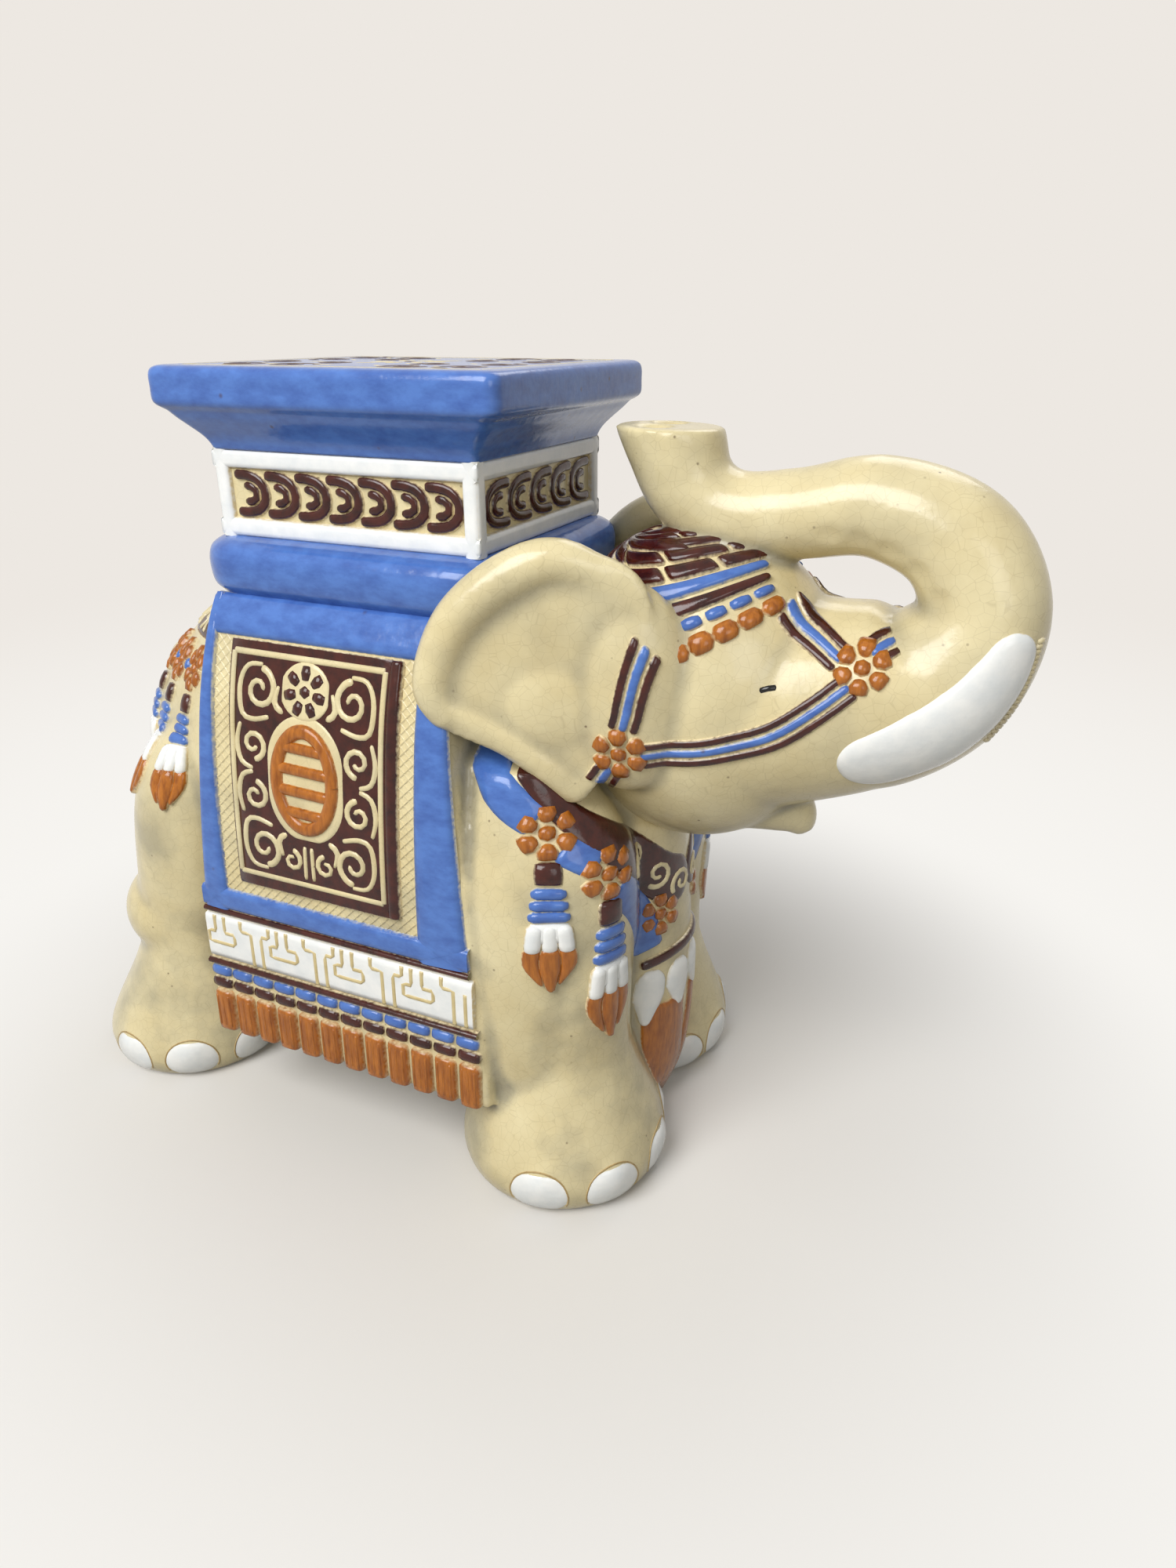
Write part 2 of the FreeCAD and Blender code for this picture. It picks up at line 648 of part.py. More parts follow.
face_bodies = [head, trunk]
brow_front_x = head_x + 0.62 * head_length / 2
brow_front_z = brow_rear_z + (head_length / 2 + brow_front_x - head_x) * math.tan(slope)
ear_edge_z = brow_rear_z + (head_length / 2 + cheek_x + 8 - head_x) * math.tan(slope)
straps = [((brow_front_x, brow_front_z), ((brow_front_x + muzzle_x) / 2, (brow_front_z + muzzle_z) / 2 - 2),
           (muzzle_x, muzzle_z)),
          ((cheek_x + 8, ear_edge_z), (cheek_x + 2, (ear_edge_z + cheek_z) / 2), (cheek_x, cheek_z)),
          ((cheek_x, cheek_z), (head_x + 30, cheek_z - 2), (head_x + 60, cheek_z + 14), (muzzle_x, muzzle_z))]
bosses = []
for x, z in ((cheek_x, cheek_z), (muzzle_x, muzzle_z)):
    point = side_skin(face_bodies, x, z)
    bosses.append(carve(rosette(point, at(x, 0, z)), head, trunk, ear_slab))
nodes["bridle_rosettes"] = Part.makeCompound(bosses + [mirrored(boss) for boss in bosses])
bridle = []
for points in straps:
    path = [side_skin(face_bodies, x, z) for x, z in points]
    bridle.append(carve(cord(path, strap_r), head, trunk, ear_slab, nodes["brow_beads"], *bosses))
nodes["bridle_right"] = Part.makeCompound(bridle)

# Chest harness
chest = [torso, web] + front_legs
boss_list = []
stems = []
cups = []
tufts = []
for angle, z, drop in zip(chest_angles, chest_heights, chest_tassel_drops):
    radius = tassel_r * 1.5 if angle == 0 else tassel_r
    point = skin(chest, chest_axis_x, -angle, z)
    boss = carve(rosette(point, at(chest_axis_x, 0, z)), *chest)
    stem, cup, tuft = tassel(chest, chest_axis_x, -angle, z, drop, radius)
    for piece, group in ((boss, boss_list), (stem, stems), (cup, cups), (tuft, tufts)):
        group.append(piece)
        if angle:
            group.append(mirrored(piece))
nodes["chest_rosettes"] = Part.makeCompound(boss_list)
nodes["chest_tassel_stems"] = Part.makeCompound([carve(piece, *boss_list) for piece in stems])
nodes["chest_tassel_cups"] = Part.makeCompound(cups)
nodes["chest_tassel_tufts"] = Part.makeCompound(tufts)

half_path = list(zip(chest_angles, chest_heights)) + [(band_end_angle, band_end_z)]
band_path = [(-angle, z) for angle, z in reversed(half_path)] + half_path[1:]
band = cord([skin(chest, chest_axis_x, angle, z) for angle, z in band_path], breast_band_r)
for neighbour in chest + ears + boss_list + stems:
    band = band.cut(neighbour)
nodes["breast_band"] = Part.makeCompound([solid for solid in band.Solids if solid.Volume > breast_band_r ** 3])
half_path = list(zip(collar_angles, collar_heights))
collar_path = [(-angle, z) for angle, z in reversed(half_path)] + half_path[1:]
collar = cord([skin(chest, chest_axis_x, angle, z) for angle, z in collar_path], collar_r)
nodes["scroll_collar"] = carve(collar, nodes["breast_band"], *(chest + ears + boss_list))

# Rump harness and tail
rump = [torso] + rear_legs
boss_list = []
stems = []
cups = []
tufts = []
for angle in rump_angles:
    point = skin(rump, rump_axis_x, -angle, rump_height)
    boss = carve(rosette(point, at(rump_axis_x, 0, torso_z)), *rump)
    stem, cup, tuft = tassel(rump, rump_axis_x, -angle, rump_height, rump_tassel_drop, tassel_r)
    for piece, group in ((boss, boss_list), (stem, stems), (cup, cups), (tuft, tufts)):
        group.append(piece)
        if angle != 180:
            group.append(mirrored(piece))
nodes["crupper_rosettes"] = Part.makeCompound(boss_list)
nodes["crupper_tassel_stems"] = Part.makeCompound([carve(piece, *boss_list) for piece in stems])
nodes["crupper_tassel_cups"] = Part.makeCompound(cups)
nodes["crupper_tassel_tufts"] = Part.makeCompound(tufts)
right_angles = [-angle for angle in reversed(rump_angles[1:])]
crupper_path = right_angles + [-180.0] + [angle - 360.0 for angle in rump_angles[1:]]
crupper = cord([skin(rump, rump_axis_x, angle, rump_height + crupper_rise) for angle in crupper_path], crupper_r)
nodes["crupper_scroll"] = carve(crupper, *(rump + boss_list))
tail_drop = (tail_top_z - tail_bottom_z) / 3
tail_path = [skin(rump, rump_axis_x, 180.0, tail_top_z - index * tail_drop) for index in range(4)]
tail = cord(tail_path, tail_r)
nodes["tail"] = carve(tail, crupper, *(rump + boss_list + stems + cups + tufts))

# Toenails
for name, leg, x, y, first in (
        ("toenails_front", front_leg, front_leg_x, front_leg_y, front_nail_angle),
        ("toenails_rear", rear_leg, rear_leg_x, rear_leg_y, rear_nail_angle)):
    nails = []
    for index in range(nail_count):
        turn = math.radians(first + index * nail_step)
        reach = foot_r - nail_sink
        center = at(x + reach * math.cos(turn), -y + reach * math.sin(turn), foot_bulge_z)
        nail = ellipsoid(center, nail_width / 2, nail_width / 2, nail_height / 2)
        nails.append(carve(nail, leg, mirrored(leg), web))
    nodes[name + "_right"] = Part.makeCompound(nails)

# The left side mirrors the right
for name in list(nodes):
    if name.endswith("_right") and not name.startswith("neck_fret"):
        nodes[name.replace("_right", "_left")] = mirrored(nodes[name])

os.makedirs("parts", exist_ok=True)
for name, shape in nodes.items():
    shape.exportStep(os.path.join("parts", name + ".step"))
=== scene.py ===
"""A glazed stoneware elephant stool: cream clay body, relief harness in coloured glazes, blue seat.

Fields give sizes in millimetres, meshes are in metres. The elephant faces +X, its right side is -Y.
"""
import logging
import math
from dataclasses import dataclass
from enum import Enum
from typing import Callable, Sequence

import bmesh
import bpy
import numpy as np
from mathutils import Matrix, Vector
from mathutils.bvhtree import BVHTree


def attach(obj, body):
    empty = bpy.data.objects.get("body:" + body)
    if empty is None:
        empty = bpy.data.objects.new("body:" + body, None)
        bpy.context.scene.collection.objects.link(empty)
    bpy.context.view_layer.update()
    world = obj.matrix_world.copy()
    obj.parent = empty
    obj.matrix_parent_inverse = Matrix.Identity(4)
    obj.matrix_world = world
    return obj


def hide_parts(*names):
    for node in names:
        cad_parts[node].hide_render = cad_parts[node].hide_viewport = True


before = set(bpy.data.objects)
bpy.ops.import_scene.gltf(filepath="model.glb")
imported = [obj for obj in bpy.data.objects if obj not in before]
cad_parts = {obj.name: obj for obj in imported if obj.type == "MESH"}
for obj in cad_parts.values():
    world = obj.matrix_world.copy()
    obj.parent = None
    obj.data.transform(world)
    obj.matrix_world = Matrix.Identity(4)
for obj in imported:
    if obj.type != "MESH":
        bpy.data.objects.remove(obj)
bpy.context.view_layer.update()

log = logging.getLogger("elephant_stool")
MM = 0.001
FULL_TURN = 360.0
ROOT = "root"
UP = Vector((0, 0, 1))
Spot = tuple[Vector, Vector]
Place = Callable[[float, float], Spot]
Path = Sequence[Sequence[float]]
Pair = tuple[float, float]
Triple = tuple[float, float, float]
Colour = tuple[float, float, float, float]
Tree = bpy.types.NodeTree
Socket = bpy.types.NodeSocket
Shapes = bmesh.types.BMesh
# Numbers of the sockets of a colour mix.
SHARE, FIRST, SECOND, MIXED = 0, 6, 7, 2


def linear(code: str) -> Colour:
    """Turn an sRGB hex colour into linear RGBA.

    Args:
        code: six hex digits with a leading hash.

    Returns:
        Linear red, green, blue and an alpha of one.
    """
    parts = [int(code[i:i + 2], 16) / 255 for i in (1, 3, 5)]
    red, green, blue = [c / 12.92 if c <= 0.04045 else ((c + 0.055) / 1.055) ** 2.4 for c in parts]
    return red, green, blue, 1.0


def add_node(tree: Tree, kind: str, inputs: dict | None = None, **settings: object) -> bpy.types.Node:
    """Add a shader node with its settings and links.

    Args:
        tree: the material's or world's node tree.
        kind: the node's type.
        inputs: socket name or number to a value, or to the socket that feeds it.
        settings: the node's own properties.

    Returns:
        The new node.
    """
    node = tree.nodes.new(kind)
    for name, value in settings.items():
        setattr(node, name, value)
    for name, value in (inputs or {}).items():
        if isinstance(value, Socket):
            tree.links.new(value, node.inputs[name])
        else:
            node.inputs[name].default_value = value
    return node


def blank_material(name: str) -> bpy.types.Material:
    """Make a material with an empty node tree.

    Args:
        name: its name.

    Returns:
        The material.
    """
    paint = bpy.data.materials.new(name)
    paint.use_nodes = True
    paint.node_tree.nodes.clear()
    return paint


@dataclass(frozen=True)
class Glaze:
    """A fired stoneware glaze: glassy, cloudy in the mass, paler where it runs thin off an edge.

    Args:
        name: the material's name.
        slot: the record's material slot; not used.
        body: colour of the glaze at its usual thickness.
        deep: colour where it lies thick.
        thin: colour where it breaks over an edge and the clay shows.
        cloud_mm: size of the cloudy patches.
        roughness: how dull the fired surface is.
        run: how far the patches are drawn out down the piece.
        speck_mm: spacing of the iron specks, or 0 for none.
        craze_mm: size of the crackle cells, or 0 for none.
        shade_and_smudge: colour of the painted shade in the hollows and of the darker smudges, or an empty
            text.
        grit_mm: size of the grit that makes a thin edge ragged.
        cut_back: what the bare share of an edge gains, below nought so that the edge breaks up.
        wave_mm: size of the ripples of the fired surface.
        smudge_mm: size of the darker smudges.
        flock_mm: size of the patches in which the specks gather.
        iron: colour of the specks.
        crack: colour of the crackle lines.
    """
    name: str
    slot: str
    body: str
    deep: str
    thin: str
    cloud_mm: float
    roughness: float
    run: float = 1.0
    speck_mm: float = 0.0
    craze_mm: float = 0.0
    shade_and_smudge: str = ""
    grit_mm: float = 2.2
    cut_back: float = -0.12
    wave_mm: float = 6.0
    smudge_mm: float = 38.0
    flock_mm: float = 25.0
    iron: str = "#4A3020"
    crack: str = "#6B5330"

    def material(self) -> bpy.types.Material:
        """Make the glaze once.

        Returns:
            The material.
        """
        paint = bpy.data.materials.get(self.name)
        if paint is not None:
            return paint
        paint = blank_material(self.name)
        tree = paint.node_tree
        spot = add_node(tree, "ShaderNodeTexCoord").outputs["Object"]
        drawn = add_node(tree, "ShaderNodeMapping", {"Vector": spot, "Scale": (1.0, 1.0, 1.0 / self.run)})
        cloud = add_node(tree, "ShaderNodeTexNoise", {
            "Vector": drawn.outputs[0], "Scale": 1.0 / (self.cloud_mm * MM), "Detail": 5.0, "Roughness": 0.6})
        shade = add_node(tree, "ShaderNodeMapRange", {
            "Value": cloud.outputs[0], "From Min": 0.36, "From Max": 0.68})
        # Grit makes the thin edge ragged, as a glaze that has run looks.
        grit = add_node(tree, "ShaderNodeTexNoise", {
            "Vector": spot, "Scale": 1.0 / (self.grit_mm * MM), "Detail": 3.0})
        edge = add_node(tree, "ShaderNodeAttribute", attribute_name="thin_edge")
        ragged = add_node(tree, "ShaderNodeMath", {
            0: edge.outputs["Fac"], 1: grit.outputs[0], 2: self.cut_back}, operation="MULTIPLY_ADD")
        bare = add_node(tree, "ShaderNodeMapRange", {
            "Value": ragged.outputs[0], "From Min": 0.02, "From Max": 0.42})
        layers = [(shade.outputs[0], self.deep), (bare.outputs[0], self.thin)]
        # Painted grey shade in the hollows, with darker smudges, goes over the glaze here.
        if self.shade_and_smudge:
            layers.append((self._shade_and_smudges(tree, spot), self.shade_and_smudge))
        if self.speck_mm:
            layers.append((self._specks(tree, spot), self.iron))
        if self.craze_mm:
            layers.append((self._cracks(tree, spot), self.crack))
        colour = linear(self.body)
        for share, over in layers:
            colour = add_node(tree, "ShaderNodeMix", {SHARE: share, FIRST: colour, SECOND: linear(over)},
                              data_type="RGBA").outputs[MIXED]
        dull = add_node(tree, "ShaderNodeMapRange", {
            "Value": grit.outputs[0], "To Min": self.roughness - 0.05, "To Max": self.roughness + 0.1})
        wave = add_node(tree, "ShaderNodeTexNoise", {
            "Vector": spot, "Scale": 1.0 / (self.wave_mm * MM), "Detail": 4.0})
        bump = add_node(tree, "ShaderNodeBump", {
            "Height": wave.outputs[0], "Strength": 0.35, "Distance": 0.7 * MM})
        shader = add_node(tree, "ShaderNodeBsdfPrincipled", {
            "Base Color": colour, "Roughness": dull.outputs[0], "Normal": bump.outputs[0], "IOR": 1.5,
            "Specular IOR Level": 0.4, "Coat Weight": 0.1, "Coat Roughness": 0.05})
        add_node(tree, "ShaderNodeOutputMaterial", {"Surface": shader.outputs[0]})
        return paint

    def _shade_and_smudges(self, tree: Tree, spot: Socket) -> Socket:
        """Lay painted shade in the hollows, and soft darker smudges, which are stronger low down.

        Args:
            tree: the glaze's node tree.
            spot: Object coordinates.

        Returns:
            The share of painted shade and smudge.
        """
        # The hollow mark paints shade into creases and dips.
        hollow = add_node(tree, "ShaderNodeAttribute", attribute_name="hollow")
        patch = add_node(tree, "ShaderNodeTexNoise", {
            "Vector": spot, "Scale": 1.0 / (self.smudge_mm * MM), "Detail": 6.0})
        height = add_node(tree, "ShaderNodeSeparateXYZ", {0: spot})
        # The smudges may be darker lower down.
        most = add_node(tree, "ShaderNodeMapRange", {
            "Value": height.outputs["Z"], "From Min": 240 * MM, "From Max": 150 * MM, "To Min": 0.3,
            "To Max": 0.75})
        smudge = add_node(tree, "ShaderNodeMapRange", {
            "Value": patch.outputs[0], "From Min": 0.47, "From Max": 0.72, "To Max": most.outputs[0]})
        hollow_shade_and_smudge = add_node(tree, "ShaderNodeMath", {0: hollow.outputs["Fac"], 1: smudge.outputs[0]},
                         operation="ADD", use_clamp=True)
        return hollow_shade_and_smudge.outputs[0]

    def _specks(self, tree: Tree, spot: Socket) -> Socket:
        """Scatter iron specks about a millimetre across.

        Args:
            tree: the glaze's node tree.
            spot: Object coordinates.

        Returns:
            The share of iron.
        """
        cells = add_node(tree, "ShaderNodeTexVoronoi", {
            "Vector": spot, "Scale": 1.0 / (self.speck_mm * MM)})
        dot = add_node(tree, "ShaderNodeMapRange", {
            "Value": cells.outputs["Distance"], "From Min": 0.1, "From Max": 0.03, "To Max": 0.75})
        some = add_node(tree, "ShaderNodeTexNoise", {
            "Vector": spot, "Scale": 1.0 / (self.flock_mm * MM), "Detail": 2.0})
        few = add_node(tree, "ShaderNodeMapRange", {
            "Value": some.outputs[0], "From Min": 0.46, "From Max": 0.6})
        share = add_node(tree, "ShaderNodeMath", {0: dot.outputs[0], 1: few.outputs[0]},
                         operation="MULTIPLY")
        return share.outputs[0]

    def _cracks(self, tree: Tree, spot: Socket) -> Socket:
        """Draw the hair lines of a crackle glaze.

        Args:
            tree: the glaze's node tree.
            spot: Object coordinates.

        Returns:
            The share of the lines' colour.
        """
        cells = add_node(tree, "ShaderNodeTexVoronoi", {
            "Vector": spot, "Scale": 1.0 / (self.craze_mm * MM)}, feature="DISTANCE_TO_EDGE")
        # Real hair lines are finer. These are about a third of a millimetre wide, so that they show.
        line = add_node(tree, "ShaderNodeMapRange", {
            "Value": cells.outputs["Distance"], "From Min": 0.035, "From Max": 0.0, "To Max": 0.15})
        return line.outputs[0]


class Finish(Enum):
    """The glazes on the stool."""
    # Celadon-like cream over a buff body: a soft gloss, crackled, specked with iron, with painted grey shade
    # in the hollows and darker smudges.
    CREAM = Glaze("cream_crackle_glaze", "glaze_cream", "#E0D3A8", "#D2C294", "#E9DEBD", 48.0, 0.2,
                  speck_mm=9.0, craze_mm=5.0, shade_and_smudge="#9A937B")
    # Cobalt blue: runny and glassy, lighter where it is thin on the rounds.
    BLUE = Glaze("cobalt_blue_glaze", "glaze_blue", "#5179C1", "#3F61A8", "#D8D3BA", 13.0, 0.14,
                 run=0.5, speck_mm=16.0)
    # Iron brown brushed on thickly: near black in the mass, red where thinner, a bare clay line round it.
    BROWN = Glaze("iron_brown_glaze", "glaze_iron_brown", "#48190F", "#2C0C07", "#E2D2AC", 7.0, 0.14)
    # Amber: a transparent honey glaze that streaks down and gathers dark.
    AMBER = Glaze("amber_glaze", "glaze_amber", "#B56C20", "#8A4A10", "#E2D0A6", 2.6, 0.15, run=5.0)
    # White tin glaze: opaque and cool, a little blue where it pools.
    WHITE = Glaze("white_tin_glaze", "glaze_white", "#F1F1ED", "#E2E5E4", "#D8C79E", 14.0, 0.16)
    # Clay left bare between the white keys: dry and sandy.
    TAN = Glaze("bare_clay_line", "glaze_cream", "#D3C190", "#C2AE7C", "#D9C99C", 9.0, 0.35)
    # Bare clay toasted brown in the fire, where a nail meets the foot.
    SEAM = Glaze("toasted_clay_seam", "glaze_cream", "#A88D5A", "#8F7444", "#C2AC7C", 5.0, 0.4)
    # Black glaze of the eyes.
    INK = Glaze("black_eye_glaze", "glaze_iron_brown", "#15110F", "#0C0A09", "#2A221C", 4.0, 0.1)


def both(name: str) -> tuple[str, str]:
    """The right and left solid of a pair."""
    return f"{name}_right", f"{name}_left"


def only(kind: type, parts: Sequence[object]) -> list:
    """The parts that are of one kind."""
    return [part for part in parts if isinstance(part, kind)]


def flow(points: Path, count: int, closed: bool = False) -> list[Vector]:
    """Run a smooth line through points.

    Args:
        points: the points, all of the same length.
        count: how many steps to take.
        closed: whether the last point joins the first.

    Returns:
        The points of the smooth line, one more than count.
    """
    marks = [Vector(point) for point in points]
    total = len(marks)
    spans = total if closed else total - 1
    made = []
    for step in range(count + 1):
        along = step / count * spans
        index = min(int(along), spans - 1)
        part = along - index
        here, ahead = marks[index % total], marks[(index + 1) % total]
        before = marks[index - 1] if closed or index > 0 else here * 2 - ahead
        after = marks[(index + 2) % total] if closed or index + 2 < total else ahead * 2 - here
        # The weights of a cubic that leaves each point along the line between its neighbours.
        bend = (before * 2 - here * 5 + ahead * 4 - after) * part ** 2
        twist = (here * 3 - before - ahead * 3 + after) * part ** 3
        made.append((here * 2 + (ahead - before) * part + bend + twist) * 0.5)
    return made


def ball(bm: Shapes, center: Sequence[float], half: Sequence[float], turn: float = 0.0) -> None:
    """Add an ellipsoid.

    Args:
        bm: the mesh it goes into.
        center: its centre.
        half: its half sizes.
        turn: its turn about the upright axis, in degrees.
    """
    matrix = Matrix.Translation(Vector(center) * MM) @ Matrix.Rotation(math.radians(turn), 4, "Z")
    matrix = matrix @ Matrix.Diagonal((*(size * MM for size in half), 1.0))
    bmesh.ops.create_uvsphere(bm, u_segments=48, v_segments=32, radius=1.0, matrix=matrix)


def bridge(bm: Shapes, rings: Sequence[Sequence[bmesh.types.BMVert]]) -> None:
    """Join rings of points by a wall.

    Args:
        bm: the mesh they are in.
        rings: the points of each ring.
    """
    loops = [list({edge for vert in ring for edge in vert.link_edges}) for ring in rings]
    for one, two in zip(loops, loops[1:]):
        bmesh.ops.bridge_loops(bm, edges=one + two)


def tube(bm: Shapes, stations: Path, upright: bool = False, segments: int = 40) -> None:
    """Add a closed tube of round rings.

    Args:
        bm: the mesh it goes into.
        stations: x, y, z and radius of each ring.
        upright: whether every ring lies level.
        segments: points of a ring.
    """
    rings = []
    last = len(stations) - 1
    for index, here in enumerate(stations):
        ahead, back = stations[min(index + 1, last)], stations[max(index - 1, 0)]
        way = UP if upright else (Vector(ahead[:3]) - Vector(back[:3])).normalized()
        side = Vector((0, 1, 0))
        side = (side - way * side.dot(way)).normalized()
        turn = Matrix((side, way.cross(side), way)).transposed().to_4x4()
        matrix = Matrix.Translation(Vector(here[:3]) * MM) @ turn
        ring = bmesh.ops.create_circle(bm, cap_ends=index in (0, last), segments=segments,
                                       radius=here[3] * MM, matrix=matrix)
        rings.append(ring["verts"])
    bridge(bm, rings)


def add_piece(name: str, mesh: bpy.types.Mesh, finish: Finish, nodes: Sequence[str]) -> bpy.types.Object:
    """Make a mesh a piece of the stool.

    Args:
        name: the piece's name.
        mesh: its mesh, in place.
        finish: its glaze.
        nodes: the solids it stands for.

    Returns:
        The piece.
    """
    name = f"glazed_{name}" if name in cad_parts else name
    mesh.name = name
    mesh.polygons.foreach_set("use_smooth", [True] * len(mesh.polygons))
    mesh.materials.clear()
    mesh.materials.append(finish.value.material())
    piece = bpy.data.objects.new(name, mesh)
    bpy.context.scene.collection.objects.link(piece)
    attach(piece, ROOT)
    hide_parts(*nodes)
    log.info("%s: %d faces", name, len(mesh.polygons))
    return piece


def from_bmesh(bm: Shapes, name: str) -> bpy.types.Mesh:
    """Write a bmesh to a new mesh and free it.

    Args:
        bm: the shapes.
        name: the mesh's name.

    Returns:
        The mesh.
    """
    mesh = bpy.data.meshes.new(name)
    bm.to_mesh(mesh)
    bm.free()
    return mesh


def cast(bm: Shapes, grain: float, passes: int) -> bpy.types.Mesh:
    """Draw one soft skin over all the shapes of a bmesh, as slip does over joined clay.

    Args:
        bm: the overlapping shapes.
        grain: the skin's cell size.
        passes: how often it is smoothed.

    Returns:
        The skin, with its hollows marked.
    """
    rough = bpy.data.objects.new("rough", from_bmesh(bm, "rough"))
    bpy.context.scene.collection.objects.link(rough)
    skin = rough.modifiers.new("skin", "REMESH")
    skin.mode = "VOXEL"
    skin.voxel_size = grain * MM
    soft = rough.modifiers.new("soft", "SMOOTH")
    soft.factor = 0.5
    soft.iterations = passes
    ready = rough.evaluated_get(bpy.context.evaluated_depsgraph_get())
    mesh = bpy.data.meshes.new_from_object(ready)
    bpy.data.objects.remove(rough)
    mark_hollows(mesh)
    return mesh


def mark_hollows(mesh: bpy.types.Mesh, depth: float = 0.1, passes: int = 5, most: float = 0.85) -> None:
    """Store how hollow the skin is at each point, for the painted shade in the hollows.

    Args:
        mesh: the skin.
        depth: the dip to the neighbouring points that counts as fully hollow.
        passes: how often the dips are evened out.
        most: the share of painted shade in a full hollow.
    """
    count = len(mesh.vertices)
    points, outward = np.empty(count * 3, np.float32), np.empty(count * 3, np.float32)
    mesh.vertices.foreach_get("co", points)
    mesh.vertex_normals.foreach_get("vector", outward)
    points, outward = points.reshape(-1, 3), outward.reshape(-1, 3)
    ends = np.empty(len(mesh.edges) * 2, np.int32)
    mesh.edges.foreach_get("vertices", ends)
    one, two = ends[0::2], ends[1::2]
    links = np.bincount(ends, minlength=count)[:, None]

    def spread(values: np.ndarray) -> np.ndarray:
        """Even out values over the skin.

        Args:
            values: one row for each point.

        Returns:
            The mean of each point's neighbours.
        """
        total = np.zeros_like(values)
        np.add.at(total, one, values[two])
        np.add.at(total, two, values[one])
        return total / links

    # A deeper dip gets more painted shade.
    dip = ((spread(points) - points) * outward).sum(axis=1, keepdims=True)
    for _ in range(passes):
        dip = spread(dip)
    share = np.clip(dip[:, 0] / (depth * MM), 0.0, most)
    mesh.attributes.new("hollow", "FLOAT", "POINT").data.foreach_set("value", share)


def press(mesh: bpy.types.Mesh, center: Sequence[float], radius: float, way: Sequence[float],
          depth: float) -> None:
    """Push the skin in or out round a point, as a thumb does.

    Args:
        mesh: the skin.
        center: the middle of the dent.
        radius: how far it reaches.
        way: the direction of the push.
        depth: how far the middle moves.
    """
    points = np.empty(len(mesh.vertices) * 3, np.float32)
    mesh.vertices.foreach_get("co", points)
    points = points.reshape(-1, 3)
    gap = np.linalg.norm(points - np.array(center, np.float32) * MM, axis=1) / (radius * MM)
    share = np.clip(1 - gap ** 2, 0.0, 1.0) ** 2
    points += share[:, None] * np.array(Vector(way).normalized(), np.float32) * (depth * MM)
    mesh.vertices.foreach_set("co", points.ravel())
    mesh.update()


class Skin:
    """A surface that relief is laid on."""
    # Where a line to the right side starts, and how far along a line to look for the nearest point if
    # it misses.
    outside: float = 400.0
    inwards: float = 300.0

    def __init__(self, mesh: bpy.types.Mesh) -> None:
        """Read the surface of a mesh.

        Args:
            mesh: the mesh.
        """
        bm = bmesh.new()
        bm.from_mesh(mesh)
        self.tree = BVHTree.FromBMesh(bm)
        bm.free()

    def drop(self, start: Vector, way: Vector) -> Spot:
        """Find where a line meets the surface.

        Args:
            start: where the line starts, in metres.
            way: its direction.

        Returns:
            The point, and the outward direction there.
        """
        point, outward, _, _ = self.tree.ray_cast(start, way)
        if point is None:
            point, outward, _, _ = self.tree.find_nearest(start + way * (self.inwards * MM))
        return point, outward

    def side(self, u: float, v: float) -> Spot:
        """A point of the right side at x of u and height v."""
        return self.drop(Vector((u, -self.outside, v)) * MM, Vector((0, 1, 0)))

    def round(self, axis_x: float, radius: float, zero: float, axis_y: float = 0.0,
              outside: float = 400.0) -> Place:
        """Wrap flat work round an upright axis.

        Args:
            axis_x: where the axis stands along the body.
            radius: the radius at which u is true length.
            zero: the direction of u = 0, in degrees from the front.
            axis_y: where the axis stands across the body.
            outside: how far from the axis a line to the surface starts.

        Returns:
            The place of u and v on the surface.
        """
        def place(u: float, v: float) -> Spot:
            """Find a point of the surface.

            Args:
                u: the length round the axis.
                v: the height.

            Returns:
                The point, and the outward direction there.
            """
            angle = math.radians(zero) + u / radius
            away = Vector((math.cos(angle), math.sin(angle), 0))
            return self.drop((Vector((axis_x, axis_y, v)) + away * outside) * MM, -away)
        return place


